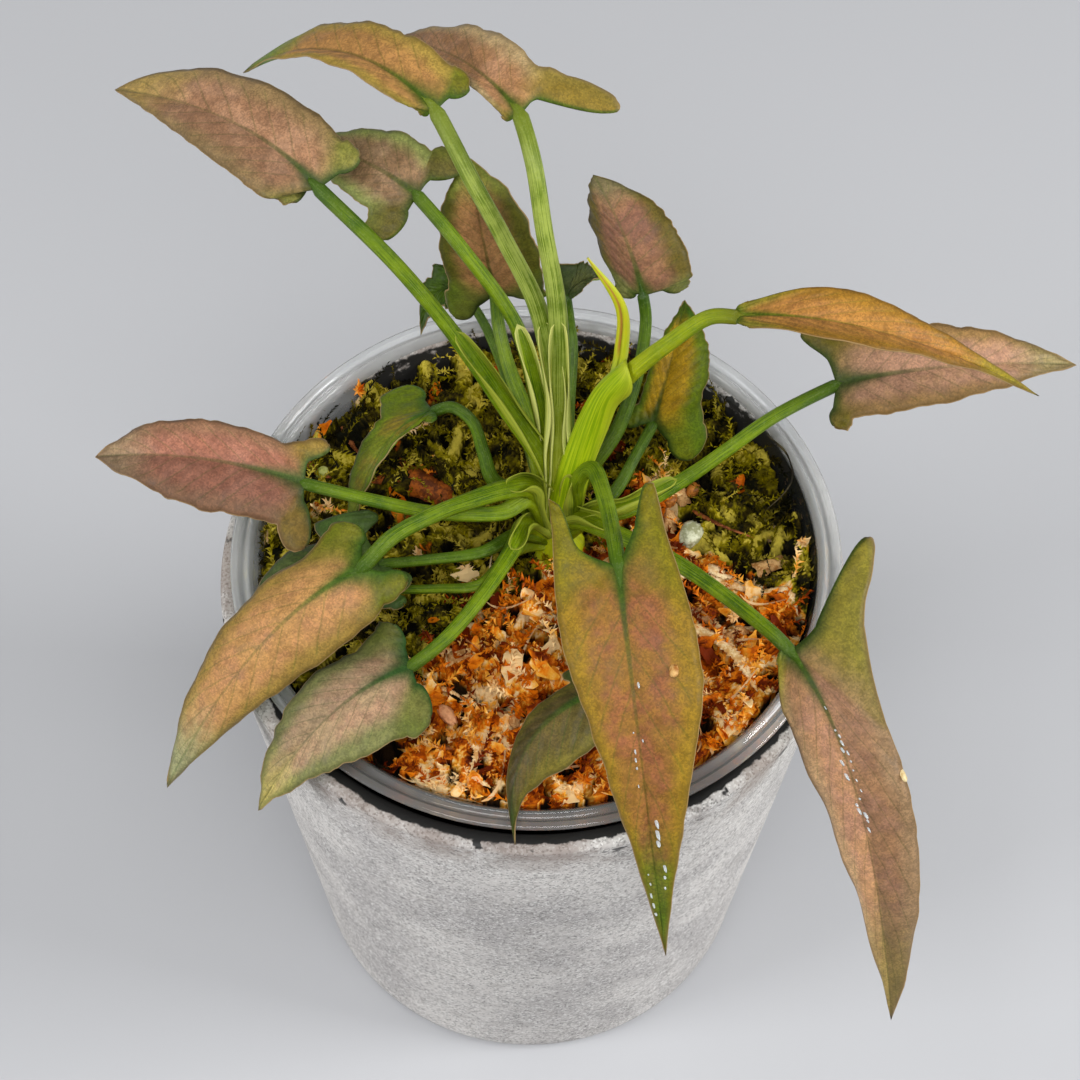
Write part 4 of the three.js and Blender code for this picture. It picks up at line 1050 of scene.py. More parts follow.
green, _ = speckled(stalk_paint, green, "C8D296", "2D4610", 4600.0, 0.2, 0.06, 300.0)
put_out(stalk_paint, Colour=green, Height=streaks + blotches * 0.3)


# %% Stalk finishes
def stalk_finish(name, light, dark, foot, end, reach=0.35):
    material, place = new_finish(name)
    sockets = {"Light": light, "Dark": dark, "Foot": foot, "End": end, "Foot Reach": reach}
    paint = from_group(stalk_paint, place.tree, sockets)
    return dress(material, paint["Colour"], 0.38, paint["Height"], 0.6, 0.3, specular=0.28)


STALK_FINISHES = {
    "green": stalk_finish("stalk_green", "7D960A", "3C5F00", "828C05", "3C5A05"),
    "bloomy": stalk_finish("stalk_bloomy", "A5B450", "5F780A", "A0A519", "6E7D1E"),
    "lime": stalk_finish("stalk_lime", "96A505", "648200", "B9BE14", "6E730A", 0.7),
    "deep": stalk_finish("stalk_deep", "5A7805", "2D4B00", "5F6E00", "2D4B05"),
}
STALK_KIND = {"02": "bloomy", "03": "bloomy", "06": "deep", "07": "deep", "08": "lime", "10": "deep",
              "14": "deep", "15": "deep", "20": "deep"}  # by the leaf's number, and green for all others


def number_of(leaf):
    return leaf["node"].split("_")[1]


for plant_leaf in LEAVES:
    points, faces, marks = stalk_mesh(plant_leaf)
    finish = STALK_FINISHES[STALK_KIND.get(number_of(plant_leaf), "green")]
    stalk = piece_from(plant_leaf["node"].replace("leaf", "stalk"), points, faces, [finish], stalk=marks)
    keep(stalk, "stalks", "stem_and_stalks")

# %% [markdown]
# ## Sheaths
# The foot of each long stalk is winged: two thin flaps rise from its sides into a gutter that once held
# the next stalk, and end in a rounded free tip like a canoe's bow, with a pale papery rim. It is one curved
# sheet on the upper side of the stalk, closed over its own thickness. The youngest open leaf's sheath
# still wraps over its stalk like a tube.

# %% Sheaths
SHEATH_START = 0.05
SHEATH_ROWS, SHEATH_COLUMNS = 34, 14
SHEATH_MM = 0.22
HALF_OPEN = math.radians(142)  # from the gutter's bottom to its rim, round the sheath's own middle
WRAPPED = ("08",)
YOUNG = ("02", "03", "04")


def sheath_mesh(leaf):
    """A gutter on the stalk's upper side, from the stem to a rounded free tip, or a half-tube over it."""
    wrapped = number_of(leaf) in WRAPPED
    base = leaf["base"]
    beyond = base + (midrib_point(leaf, 0.05) - base) * 0.9 - np.array([0, 0, 0.3])
    curve = stalk_curve(leaf) + [beyond]
    outer, inner, marks = [], [], []
    for i in range(SHEATH_ROWS + 1):
        k = i / SHEATH_ROWS
        at, side, up = frame_on(curve, SHEATH_START + (leaf["sheath"] - SHEATH_START) * k)
        rounding = math.sqrt(max(0.0, 1 - max(0.0, (k - 0.62) / 0.38) ** 2.4))
        opening = HALF_OPEN * (0.92 + 0.08 * math.sin(9 * k + leaf["r"] * 7)) * rounding + 0.03
        radius = leaf["r"] * ((1.6 - 0.35 * k) if wrapped else (1.28 - 0.38 * k))
        middle = at + up * (0.0 if wrapped else leaf["r"] * 0.3 + radius * 0.5 + 0.9 * k ** 4)
        for j in range(SHEATH_COLUMNS + 1):
            u = 2 * j / SHEATH_COLUMNS - 1
            w = (math.pi / 2 if wrapped else -math.pi / 2) + opening * u
            out = side * math.cos(w) * (1 + 0.12 * abs(u)) + up * math.sin(w)
            curl = 1 + 0.1 * abs(u) ** 4 * math.sin(14 * k + 2 * u)
            outer.append(middle + out * radius * curl)
            inner.append(middle + out * (radius * curl - SHEATH_MM + 0.1 * abs(u)))
            marks.append((u, k, 0.0))
    return *closed_sheet(outer, inner, grid_faces(SHEATH_ROWS, SHEATH_COLUMNS)), marks + marks


def sheath_finish(name, dark, light, rim, rim_share):
    """Green with lines along the stalk, pale and papery towards the rim and the tip."""
    material, place = new_finish(name)
    side, up_sheath, _ = marks_of(place.tree, "sheath")
    lines = noise(node(place.tree, "ShaderNodeCombineXYZ", {"X": side * 3.0, "Y": up_sheath * 0.4}), 6.0, 3.0)
    green = lines.ramp(0.42, 0.6).mix(dark, light)
    papery = abs(side).ramp(0.25, 1.05).larger(up_sheath.ramp(0.88, 1.0))
    return dress(material, (papery * rim_share).mix(green, rim), 0.45, lines + noise(place, 900.0), 0.5, 0.2,
                 specular=0.28)


old_membrane = sheath_finish("sheath_green", "4B6900", "8C9B19", "AFB441", 0.65)
young_membrane = sheath_finish("sheath_pale", "6E8C0A", "C8CD50", "D7D782", 0.75)
wrapping = sheath_finish("sheath_wrapping", "82A000", "AABE14", "BEC332", 0.6)
for plant_leaf in [item for item in LEAVES if item["sheath"]]:
    points, faces, marks = sheath_mesh(plant_leaf)
    skin = young_membrane if number_of(plant_leaf) in YOUNG else old_membrane
    skin = wrapping if number_of(plant_leaf) in WRAPPED else skin
    sheath = piece_from(plant_leaf["node"].replace("leaf", "sheath"), points, faces, [skin], sheath=marks)
    keep(sheath, "stalks", "stem_and_stalks")

# %% [markdown]
# ## Stem
# The stem itself is short and almost hidden: a stub with the scars of older sheaths, sunk in the moss.

# %% Stem
STEM_RINGS, STEM_SIDES = 34, 28
STEM_R = 4.0
STEM_LOW, STEM_HIGH = RIM_Z - 21.5, RIM_Z + 1.2
SCAR_PITCH = 3.1

rings, marks = [], []
for i in range(STEM_RINGS + 1):
    t = i / STEM_RINGS
    z = STEM_LOW + (STEM_HIGH - STEM_LOW) * t
    scar = 0.22 * abs(math.sin(math.pi * z / SCAR_PITCH)) ** 6
    radius = (STEM_R + scar) * math.sqrt(max(0.03, min(1, (1 - t) / 0.22))) * min(1, 0.6 + t * 3)
    ring = []
    for w in turns(STEM_SIDES):
        r = radius * (1 + 0.05 * math.sin(3 * w + z) + 0.03 * math.sin(7 * w))
        ring.append((STEM_XY[0] + r * math.cos(w), STEM_XY[1] + r * math.sin(w), z))
        marks.append((w / (2 * math.pi), 0.2, t * 20))
    rings.append(ring)
keep(piece_from("stem", *tube(rings), [STALK_FINISHES["lime"]], stalk=marks), "stalks", "stem_and_stalks")

# %% [markdown]
# ## The new leaf
# The youngest leaf stands rolled up like a paper cone, bright yellow-green, with a thin brownish free
# edge. It is a sheet wound once and a third round the leaf's axis.

# %% New leaf
NEW_LEAF = [[11.2, 15.3, 25.5], [12.2, 17, 31], [11.8, 19.2, 38.5], [7, 21, 47]]
ROLL_ROWS, ROLL_COLUMNS = 36, 30
ROLL_R = 1.02
ROLL_TURNS = 1.35
ROLL_HALF_MM = 0.09  # half the sheet's thickness


def new_leaf_mesh():
    curve = [placed(point) for point in NEW_LEAF]
    outer, inner, marks = [], [], []
    for i in range(ROLL_ROWS + 1):
        t = i / ROLL_ROWS
        at, side, up = frame_on(curve, t)
        radius = ROLL_R * min(1, 0.7 + t) * max(0.06, 1 - t ** 3.2)
        for j in range(ROLL_COLUMNS + 1):
            k = j / ROLL_COLUMNS
            w = -0.6 + 2 * math.pi * ROLL_TURNS * k
            r = radius * (0.55 + 0.45 * k) + 0.1 * math.sin(5 * t + 2) * (k > 0.97)
            out = side * math.cos(w) * 1.15 + up * math.sin(w) * 0.85
            outer.append(at + out * (r + ROLL_HALF_MM))
            inner.append(at + out * (r - ROLL_HALF_MM))
            marks.append((k, t, 0.0))
    return *closed_sheet(outer, inner, grid_faces(ROLL_ROWS, ROLL_COLUMNS)), marks + marks


def new_leaf_finish():
    material, place = new_finish("new_leaf_lime")
    around, up_leaf, _ = marks_of(place.tree, "roll")
    lime = noise(place, 300.0, 3.0).ramp(0.35, 0.7).mix("C3C316", "AFBE1E")
    lime = up_leaf.ramp(0.0, 0.45, 1.0, 0.0).mix(lime, "A0B43C")
    brown = around.ramp(0.94, 0.985) * up_leaf.ramp(0.25, 0.4)
    return dress(material, (brown * 0.8).mix(lime, "A05A23"), 0.4, noise(place, 1100.0, 3.0), 0.3, 0.1)


points, faces, marks = new_leaf_mesh()
keep(piece_from("rolled_new_leaf", points, faces, [new_leaf_finish()], roll=marks), "new_leaf", "new_leaf")

# %% [markdown]
# ## The bed of moss
# The pot is filled with long-fibred moss, orange-brown and dry towards the front, olive and alive at the
# back and the sides. A strand of it is like a small feather boa, two or three millimetres thick. The bed is
# made as a fine sheet on which nine hundred short strands are laid one by one, each a bent ridge with rows
# of scales. Where two cross, the higher one wins, and the sheet keeps each strand's tone for its colour.

# %% Where the moss lies
MOSS_TOP = -6.0
MOSS_SWELL = 1.3
MOSS_FRONT = 3.7
WALL_RISE = 2.2  # the moss climbs this much at the clear wall
BED_R = wall_radius(RIM_Z - 5) - WALL


def moss_height(x, y):
    """The same lumps as the solid's, in mm above the table."""
    lumps = (np.sin(0.33 * x + 0.9) * np.cos(0.29 * y - 0.4) + 0.6 * np.sin(0.61 * x - 0.37 * y + 2.0)
             + 0.4 * np.sin(0.97 * y + 0.5 * x))
    front = np.clip((-y - 2) / 26, 0, 1)
    return RIM_Z + MOSS_TOP + 0.7 * MOSS_SWELL * lumps + MOSS_FRONT * front


DRY_BORDER = [(-42, -27), (-24, -26), (-19, -18), (-13, -12), (-9, -3), (0, -1), (8, 4), (14, 15), (18, 19),
              (21, 13), (25, 7), (28, 3), (34, 1), (38, -3), (42, -7)]  # (x, y); the moss is dry before it


def dryness(x, y):
    """1 where the moss is dry, 0 where it grows."""
    border = np.interp(x, *np.transpose(DRY_BORDER))
    edge = y - border + 1.2 * np.sin(1.1 * x + 1) + 1.6 * np.sin(0.9 * y - 0.7 * x)
    wisps = np.clip(np.sin(0.55 * x + 0.7) * np.sin(0.48 * y + 2.1) - 0.5, 0, 1) * 1.1
    return np.clip(np.maximum(0.5 - edge / 4.5, wisps), 0, 1)


def disc_grid(squares):
    """The corners of a square grid, pressed into a disc of radius 1."""
    a, b = np.meshgrid(np.linspace(-1, 1, squares + 1), np.linspace(-1, 1, squares + 1), indexing="ij")
    wide = np.abs(a) > np.abs(b)
    radius = np.where(wide, a, b)
    turn = np.where(wide, b, a) / np.where(radius == 0, 1, radius) * math.pi / 4
    angle = np.where(wide, turn, math.pi / 2 - turn)
    return (radius * np.cos(angle)).ravel(), (radius * np.sin(angle)).ravel()


# %% Laying the strands
STRANDS = 900
SCALE_PITCH = 0.85  # from one row of a strand's scales to the next
STRAND_SINK = 3.6  # the lowest gaps lie this far below the top of the moss


def lay_strands(x, y, base):
    """The sheet's heights and marks: the strand's tone, nearness to its ridge and place in a scale."""
    rng = np.random.default_rng(21)
    z = base - STRAND_SINK
    marks = np.zeros((len(x), 3))
    marks[:, 0] = 0.2
    for _ in range(STRANDS):
        away, bearing, heading = rng.uniform(size=3) * (1, 2 * math.pi, 2 * math.pi)
        dx = x - NURSERY_XY[0] - BED_R * math.sqrt(away) * math.cos(bearing)
        dy = y - NURSERY_XY[1] - BED_R * math.sqrt(away) * math.sin(bearing)
        length, thick = rng.uniform(4.5, 11.5), rng.uniform(0.7, 1.6)
        bend, lift, slope, tone = rng.uniform((-1.3, -1.5, -0.3, 0), (1.3, 1.3, 0.3, 1))
        near = np.nonzero(dx * dx + dy * dy < (length / 2 + thick + 1) ** 2)[0]
        u = dx[near] * math.cos(heading) + dy[near] * math.sin(heading)
        v = dy[near] * math.cos(heading) - dx[near] * math.sin(heading)
        aside = np.abs(v - bend * u * u / length)
        taper = np.sqrt(np.clip(1 - (2 * u / length) ** 2, 0, 1))
        row = u / SCALE_PITCH - 0.9 * aside / thick + tone
        scale = row - np.floor(row)
        share = aside / np.maximum(thick * taper * (0.72 + 0.42 * scale), 1e-6)
        ridge = np.sqrt(np.clip(1 - share ** 2, 0, 1))
        height = base[near] + lift + slope * u - 1.3 + thick * ridge + 0.34 * (scale - 0.5)
        higher = (share < 1) & (height > z[near])
        chosen = near[higher]
        z[chosen] = height[higher]
        marks[chosen] = np.stack([np.full(len(chosen), tone), ridge[higher], scale[higher]], 1)
    return z, marks


# %% Moss colours
DRY_PALETTE = ["6E2300", "B95500", "E67D0A", "F5AF3C", "FFDCA0"]
GREEN_PALETTE = ["0F0F00", "372D00", "645A00", "968700", "D2BE46"]


def palette(where, colours):
    """The colours of a palette one after the other, as where goes from 0 to 1."""
    colour = colours[0]
    for i, following in enumerate(colours[1:]):
        step = (i + 1) / len(colours)
        colour = where.ramp(step - 0.12, step + 0.12).mix(colour, following)
    return colour


def moss_tone(place, tone):
    """Where in its palette a spot of moss lies: its strand's tone, slow patches and a fine mottle."""
    patches = (noise(place, 150.0, 3.0, 0.6) - 0.5) * 1.9
    mottle = (noise(place, 900.0, 3.0, 0.6) - 0.5) * 0.8
    return tone * 0.85 + 0.05 + (patches + mottle)


def bed_finish():
    """Both palettes, parted by the dry mask, with a painted highlight on the ridges and a painted shade,
    almost black, in the gaps.
    """
    material, place = new_finish("moss_bed_finish")
    tone, ridge, scale = marks_of(place.tree, "strand")
    dry, _, depth = marks_of(place.tree, "dry")
    # the ridge of each strand and the top of each scale pick lighter colours of the palette and its sides
    # darker ones: painted highlight and painted shade, over each strand's own tone
    where = moss_tone(place, tone) - 0.3 + (ridge * 0.3 + scale * 0.25)
    ragged = dry + (noise(place, 260.0, 3.0, 0.6) - 0.5) * 0.9
    colour = ragged.ramp(0.42, 0.58).mix(palette(where, GREEN_PALETTE), palette(where, DRY_PALETTE))
    # painted shade: almost black on the flanks of the strands and deep in the gaps
    gap_shade = ridge.ramp(0.0, 0.6, 0.98, 0.0).larger(depth.ramp(0.3, 0.75, 0.0, 0.98))
    return dress(material, gap_shade.mix(colour, "0C0800"), 0.8, noise(place, 1700.0, 4.0, 0.7), 0.9, 0.5,
                 specular=0.15)


# %% Moss bed
BED_SQUARES = 296
BED_FLOOR = NURSERY_BASE + WALL + 0.3


def moss_bed():
    across = BED_SQUARES + 1
    x, y = disc_grid(BED_SQUARES)
    share = np.hypot(x, y)
    bed_radius = BED_R - 0.3
    x, y = NURSERY_XY[0] + bed_radius * x, NURSERY_XY[1] + bed_radius * y
    mounds = 1.5 * np.sin(0.52 * x + 1.3 * np.sin(0.31 * y)) * np.sin(0.47 * y + 1.1 * np.sin(0.36 * x) + 1.0)
    hollow = 2.6 * np.exp(-(((x - 35) / 6) ** 2) - ((y - 12) / 12) ** 2)  # sunk at the right wall
    level = moss_height(x, y) + WALL_RISE * share ** 7 - hollow
    z, marks = lay_strands(x, y, level + mounds)
    # how deep each spot lies below the moss's level: it sets the painted shade in the gaps, and fewer sprigs
    # there
    depth = np.clip((level - z) / 3.6 + 0.25, 0, 1)
    z = np.minimum(z, RIM_Z - 1.2)
    ids = np.arange(across * across).reshape(across, across)
    faces = np.stack([ids[:-1, :-1], ids[1:, :-1], ids[1:, 1:], ids[:-1, 1:]], -1).reshape(-1, 4).tolist()
    rim = np.concatenate([ids[:-1, 0], ids[-1, :-1], ids[:0:-1, -1], ids[0, :0:-1]])
    top, count = across * across, len(rim)
    shrink = (wall_radius(BED_FLOOR) - WALL - 0.35) / bed_radius
    low_x = NURSERY_XY[0] + (x[rim] - NURSERY_XY[0]) * shrink
    low_y = NURSERY_XY[1] + (y[rim] - NURSERY_XY[1]) * shrink
    for i in range(count):
        q = (i + 1) % count
        faces.append((int(rim[i]), top + i, top + q, int(rim[q])))
    faces.append(tuple(reversed(range(top, top + count))))
    points = np.vstack([np.stack([x, y, z], 1), np.stack([low_x, low_y, np.full(count, BED_FLOOR)], 1)])
    below = np.zeros((count, 3))
    return piece_from("moss_ground", points, faces, [bed_finish()], strand=np.vstack([marks, below]),
                      dry=np.vstack([np.stack([dryness(x, y), share, depth], 1), below]))


ground = moss_bed()
keep(ground, "moss", "moss_bed")

# %% [markdown]
# ## Moss sprigs
# Seen close, a strand of this moss is a thin stem under overlapping pointed scales, like a pine cone drawn
# out. A few short sprigs are modelled, each scale a kite folded along its middle, of two triangles, with
# some dry flakes and frayed fibres. Geometry Nodes then scatter some thousands of them over the ground.

# %% Sprigs
UP = np.array([0, 0, 1.0])


def variant(name, points, faces):
    """A loose mesh object in mm, for a scatter to pick from."""
    mesh = bpy.data.meshes.new(name)
    mesh.from_pydata((np.array(points) * MM).tolist(), [], faces)
    mesh.update()
    return bpy.data.objects.new(name, mesh)


def sprig(name, length, scales, scale_mm, spread, curl, seed):
    """A curved strand of overlapping scales along +Z, in mm. A scale is a kite folded along its middle."""
    rng = random.Random(seed)
    points, faces = [], []
    golden = math.radians(137.5)
    for i in range(scales):
        t = (i + 0.5) / scales
        bend = curl * t * t
        sway = 0.12 * length * math.sin(3 * t)
        centre = np.array([length * bend * 0.5, sway, length * t * (1 - 0.15 * bend)])
        azimuth = i * golden + rng.uniform(-0.4, 0.4)
        lean = spread * (0.6 + 0.7 * t) + rng.uniform(-0.3, 0.3)
        out = np.array([math.cos(azimuth), math.sin(azimuth), 0.0])
        reach = scale_mm * rng.uniform(0.7, 1.3)
        direction = unit(out * math.sin(lean) + np.array([bend * 0.6, 0, 1.0]) * math.cos(lean))
        side = unit(np.cross(direction, out + 0.01 * UP)) * reach * rng.uniform(0.1, 0.17)
        facing = unit(np.cross(side, direction)) * reach * 0.2
        middle = centre + direction * reach * 0.45
        tip = centre + direction * reach + facing * rng.uniform(0.5, 1.8) + side * rng.uniform(-0.4, 0.4)
        n = len(points)
        points += [centre, middle + side - facing, tip, middle - side - facing]
        faces += [(n, n + 2, n + 1), (n, n + 3, n + 2)]
    return variant(name, points, faces)


# %% Fibres and flakes
FIBRE_STEPS = 9
FLAKE_ROWS, FLAKE_COLUMNS = 5, 3


def fibre(name, length, width, curl, seed):
    """A frayed flat fibre that arches along +Z, in mm."""
    rng = random.Random(seed)
    points, faces = [], []
    phase = rng.uniform(0, 6)
    for i in range(FIBRE_STEPS + 1):
        t = i / FIBRE_STEPS
        sway = 0.1 * length * math.sin(4 * t + phase)
        centre = np.array([length * curl * math.sin(2.4 * t), sway, length * t])
        half = width / 2 * (1 - 0.75 * t) * (1 + 0.25 * math.sin(9 * t + phase))
        turn = 1.5 * t + phase
        side = np.array([math.cos(turn) * half, math.sin(turn) * half, 0])
        points += [centre + side, centre - side, centre + np.array([-side[1], side[0], 0]) * 0.35]
    for p in range(0, 3 * FIBRE_STEPS, 3):
        for a, b in ((0, 1), (1, 2), (2, 0)):
            faces.append((p + a, p + a + 3, p + b + 3, p + b))
    last = 3 * FIBRE_STEPS
    return variant(name, points, faces + [(0, 1, 2), (last + 2, last + 1, last)])


def flake(name, length, width, curl, seed):
    """A scrap of dry leaf, curled across and along, with a ragged margin: a closed thin shell in mm."""
    rng = random.Random(seed)
    upper, lower = [], []
    for i in range(FLAKE_ROWS + 1):
        v = i / FLAKE_ROWS - 0.5
        half = width / 2 * math.sqrt(max(0.06, 1 - (1.75 * v) ** 2)) * rng.uniform(0.7, 1.25)
        for j in range(FLAKE_COLUMNS + 1):
            u = 2 * j / FLAKE_COLUMNS - 1
            a = u * half / width * 2 * curl
            x = half * math.sin(a) / max(abs(curl), 0.2) * 1.2
            y = length * v + (rng.uniform(-0.2, 0.2) if abs(u) == 1 else 0.0) * length / FLAKE_ROWS
            z = width * 0.5 * (1 - math.cos(a)) + 0.5 * curl * length * v * v
            thick = 0.1 * (1 - abs(u)) + 0.015
            upper.append((x, y, z + thick))
            lower.append((x, y, z - thick))
    return variant(name, *closed_sheet(upper, lower, grid_faces(FLAKE_ROWS, FLAKE_COLUMNS)))


def kinds(name, variants):
    """A collection outside the scene that holds the variants for the scatter to pick from."""
    collection = bpy.data.collections.new(name)
    for item in variants:
        collection.objects.link(item)
    return collection


dry_sprigs = kinds("dry_sprigs", [
    sprig("dry_a", 4.2, 24, 0.95, 0.55, 0.9, 1), sprig("dry_b", 3.4, 24, 1.05, 0.7, -1.1, 2),
    sprig("dry_c", 5.4, 24, 0.9, 0.5, 1.3, 3), sprig("dry_tuft", 1.6, 20, 1.3, 1.1, 0.2, 4)])
green_sprigs = kinds("green_sprigs", [
    sprig("green_a", 4.8, 24, 0.8, 0.5, 1.1, 5), sprig("green_b", 3.6, 24, 0.85, 0.6, -1.2, 6),
    sprig("green_c", 6.0, 24, 0.75, 0.45, -0.9, 11), sprig("green_tuft", 1.4, 20, 1.0, 1.0, 0.1, 7)])
flakes = kinds("flakes", [
    flake("flake_a", 2.6, 1.5, 1.0, 12), flake("flake_b", 1.9, 1.3, -1.2, 13),
    flake("flake_c", 3.4, 1.2, 0.7, 14), flake("flake_d", 1.4, 1.2, 1.4, 15)])
fibres = kinds("fibres", [
    fibre("fibre_a", 10.0, 1.0, 0.3, 8), fibre("fibre_b", 7.0, 0.8, -0.4, 9),
    fibre("fibre_c", 13.0, 0.7, 0.2, 10)])

# %% [markdown]
# ## Scattering
# The tree spreads points over the ground no closer than a spacing, keeps more of them where a mask is
# high, tips each instance over and turns it at random, and gives it a tone for its colour. Realize
# Instances and Set Material come last. The result is made a plain mesh, and what would reach through the
# clear wall is pressed flat against it, as the real moss is.

# %% Scatter tree
SCATTER_INPUTS = {"Spacing": "Float", "Most": "Float", "Least Tilt": "Float", "Most Tilt": "Float",
                  "Smallest": "Float", "Largest": "Float", "Seed": "Int"}
TONE_SEED = 7


def scatter_tree(name, collection, finish, dry):
    tree = bpy.data.node_groups.new(name, "GeometryNodeTree")
    face = tree.interface
    face.new_socket("Ground", in_out="INPUT", socket_type="NodeSocketGeometry")
    for label, kind in SCATTER_INPUTS.items():
        face.new_socket(label, in_out="INPUT", socket_type="NodeSocket" + kind)
    face.new_socket("Moss", in_out="OUTPUT", socket_type="NodeSocketGeometry")
    given = {socket.name: Value(tree, socket) for socket in tree.nodes.new("NodeGroupInput").outputs}
    mask = node(tree, "GeometryNodeInputNamedAttribute", {"Name": "dry"}, "Attribute",
                data_type="FLOAT_VECTOR")
    dry_share, _, depth = mask.parts()
    wanted = (dry_share if dry else 1.0 - dry_share) * depth.ramp(0.15, 0.6, 1.0, 0.0)
    upwards = node(tree, "GeometryNodeInputNormal", None, "Normal").parts()[2]
    on_top = node(tree, "FunctionNodeCompare", {0: upwards, 1: 0.3}, data_type="FLOAT",
                  operation="GREATER_THAN")
    spread = node(tree, "GeometryNodeDistributePointsOnFaces",
                  {"Mesh": given["Ground"], "Selection": on_top, "Distance Min": given["Spacing"],
                   "Density Max": given["Most"], "Density Factor": wanted, "Seed": given["Seed"]},
                  "Points", distribute_method="POISSON")
    low = node(tree, "ShaderNodeCombineXYZ", {"X": given["Least Tilt"], "Y": 0.0, "Z": 0.0})
    high = node(tree, "ShaderNodeCombineXYZ", {"X": given["Most Tilt"], "Y": 0.0, "Z": 2 * math.pi})
    turn = node(tree, "FunctionNodeRandomValue", {"Min": low, "Max": high, "Seed": given["Seed"]},
                data_type="FLOAT_VECTOR")
    size = node(tree, "FunctionNodeRandomValue", {2: given["Smallest"], 3: given["Largest"]}, 1,
                data_type="FLOAT")
    tone = node(tree, "FunctionNodeRandomValue", {"Seed": TONE_SEED}, 1, data_type="FLOAT")
    picked = node(tree, "GeometryNodeCollectionInfo",
                  {"Collection": collection, "Separate Children": True, "Reset Children": True})
    laid = node(tree, "GeometryNodeInstanceOnPoints",
                {"Points": spread, "Instance": picked, "Pick Instance": True, "Rotation": turn,
                 "Scale": size})
    toned = node(tree, "GeometryNodeStoreNamedAttribute", {"Geometry": laid, "Name": "tone", "Value": tone},
                 data_type="FLOAT", domain="INSTANCE")
    real = node(tree, "GeometryNodeRealizeInstances", {"Geometry": toned})
    dressed = node(tree, "GeometryNodeSetMaterial", {"Geometry": real, "Material": finish})
    plug(tree, dressed, tree.nodes.new("NodeGroupOutput").inputs[0])
    return tree


# %% Running a scatter
WALL_GAP = 0.2  # from the clear wall to the moss that is pressed against it


def press_against_wall(mesh):
    """Pulls points that lie beyond the clear wall back to just inside it."""
    co = np.zeros(len(mesh.vertices) * 3, np.float32)
    mesh.vertices.foreach_get("co", co)
    co = co.reshape(-1, 3) / MM
    flat = co[:, :2] - NURSERY_XY
    radius = np.linalg.norm(flat, axis=1)
    limit = wall_radius(np.minimum(co[:, 2], RIM_Z)) - WALL - WALL_GAP
    co[:, :2] = NURSERY_XY + flat * np.minimum(1, limit / np.maximum(radius, 1e-6))[:, None]
    mesh.vertices.foreach_set("co", (co * MM).astype(np.float32).ravel())
    mesh.update()


def scattered(name, collection, finish, dry, settings):
    """Runs the scatter tree on the moss ground and returns the result as a plain mesh piece."""
    tree = scatter_tree(name + "_tree", collection, finish, dry)
    carrier = bpy.data.objects.new(name, ground.data.copy())
    bpy.context.scene.collection.objects.link(carrier)
    modifier = carrier.modifiers.new("scatter", "NODES")
    modifier.node_group = tree
    for socket in tree.interface.items_tree:
        if socket.in_out == "INPUT" and socket.name in settings:
            modifier[socket.identifier] = settings[socket.name]
    bpy.context.view_layer.update()
    shown = carrier.evaluated_get(bpy.context.evaluated_depsgraph_get())
    mesh = bpy.data.meshes.new_from_object(shown)
    carrier.modifiers.remove(modifier)
    carrier.data = mesh
    press_against_wall(mesh)
    mesh.polygons.foreach_set("use_smooth", np.zeros(len(mesh.polygons), bool))
    return carrier


# %% Moss finishes
def moss_finish(name, colours, dark, roughness):
    """Dry or living sprigs: the bed's palette picked by the sprig's own tone, and a painted shade deep down.
    """
    material, place = new_finish(name)
    tone = node(place.tree, "ShaderNodeAttribute", None, "Fac", attribute_name="tone")
    # painted shade: the lower a sprig lies in the moss, the closer its colour goes to the dark one
    deep = place.parts()[2].ramp((RIM_Z - 9) * MM, (RIM_Z - 4) * MM, 0.85, 0.0)
    colour = deep.mix(palette(moss_tone(place, tone), colours), dark)
    return dress(material, colour, roughness, noise(place, 2600.0, 2.0), 0.3, 0.1, specular=0.1)


# the last colour given is the one of the painted shade deep in the moss
dry_moss = moss_finish("dry_moss", DRY_PALETTE, "3C1E0A", 0.6)
green_moss = moss_finish("green_moss", GREEN_PALETTE, "14140A", 0.55)
pale_fibre = moss_finish("pale_fibre", ["C8905A", "E1BE8C", "D7A569", "E6CDA0"], "5F3C1E", 0.55)

# %% Crowds of moss
CROWDS = [  # name, variants, finish, on dry moss, and then what SCATTER_INPUTS asks for
    ("dry_moss_sprigs", dry_sprigs, dry_moss, True, 1.5 * MM, 500000.0, 0.9, 1.7, 0.6, 1.3, 3),
    ("dry_moss_flakes", flakes, dry_moss, True, 1.5 * MM, 500000.0, 0.0, 1.2, 0.6, 2.0, 6),
    ("green_moss_sprigs", green_sprigs, green_moss, False, 1.25 * MM, 700000.0, 0.9, 1.75, 0.6, 1.3, 4),
    ("pale_fibres", fibres, pale_fibre, True, 4.5 * MM, 60000.0, 1.2, 1.7, 0.6, 1.1, 5),
]
for name, variants, finish, dry, *numbers in CROWDS:
    crowd = scattered(name, variants, finish, dry, dict(zip(SCATTER_INPUTS, numbers)))
    keep(crowd, "moss", "moss_bed")

# %% [markdown]
# ## Small things
# Wild moss comes with other bits: frayed pale strands, the papery brown foot of an old leaf, a seed, crumbs.
# Each is laid where it fell by a plumb line, a ray that goes straight down until it meets the moss or a
# leaf, so that nothing hangs in the air.

# %% Plumb line
HIGH_ABOVE = RIM_Z + 90


def surface_of(piece):
    """The piece's surface in mm, as a tree that answers where a ray meets it or which spot is nearest."""
    return BVHTree.FromPolygons([v.co / MM for v in piece.data.vertices],
                                [tuple(p.vertices) for p in piece.data.polygons])


def plumb(piece):
    """A function that gives the top of the piece under (x, y), in mm above the table."""
    tree = surface_of(piece)

    def top_under(x, y, reach=0.0):
        hits = [tree.ray_cast(Vector((x + dx, y + dy, HIGH_ABOVE)), Vector((0, 0, -1)))[0]
                for dx, dy in ((0, 0), (reach, 0), (-reach, 0), (0, reach), (0, -reach))]
        return max(hit.z for hit in hits if hit)

    return top_under


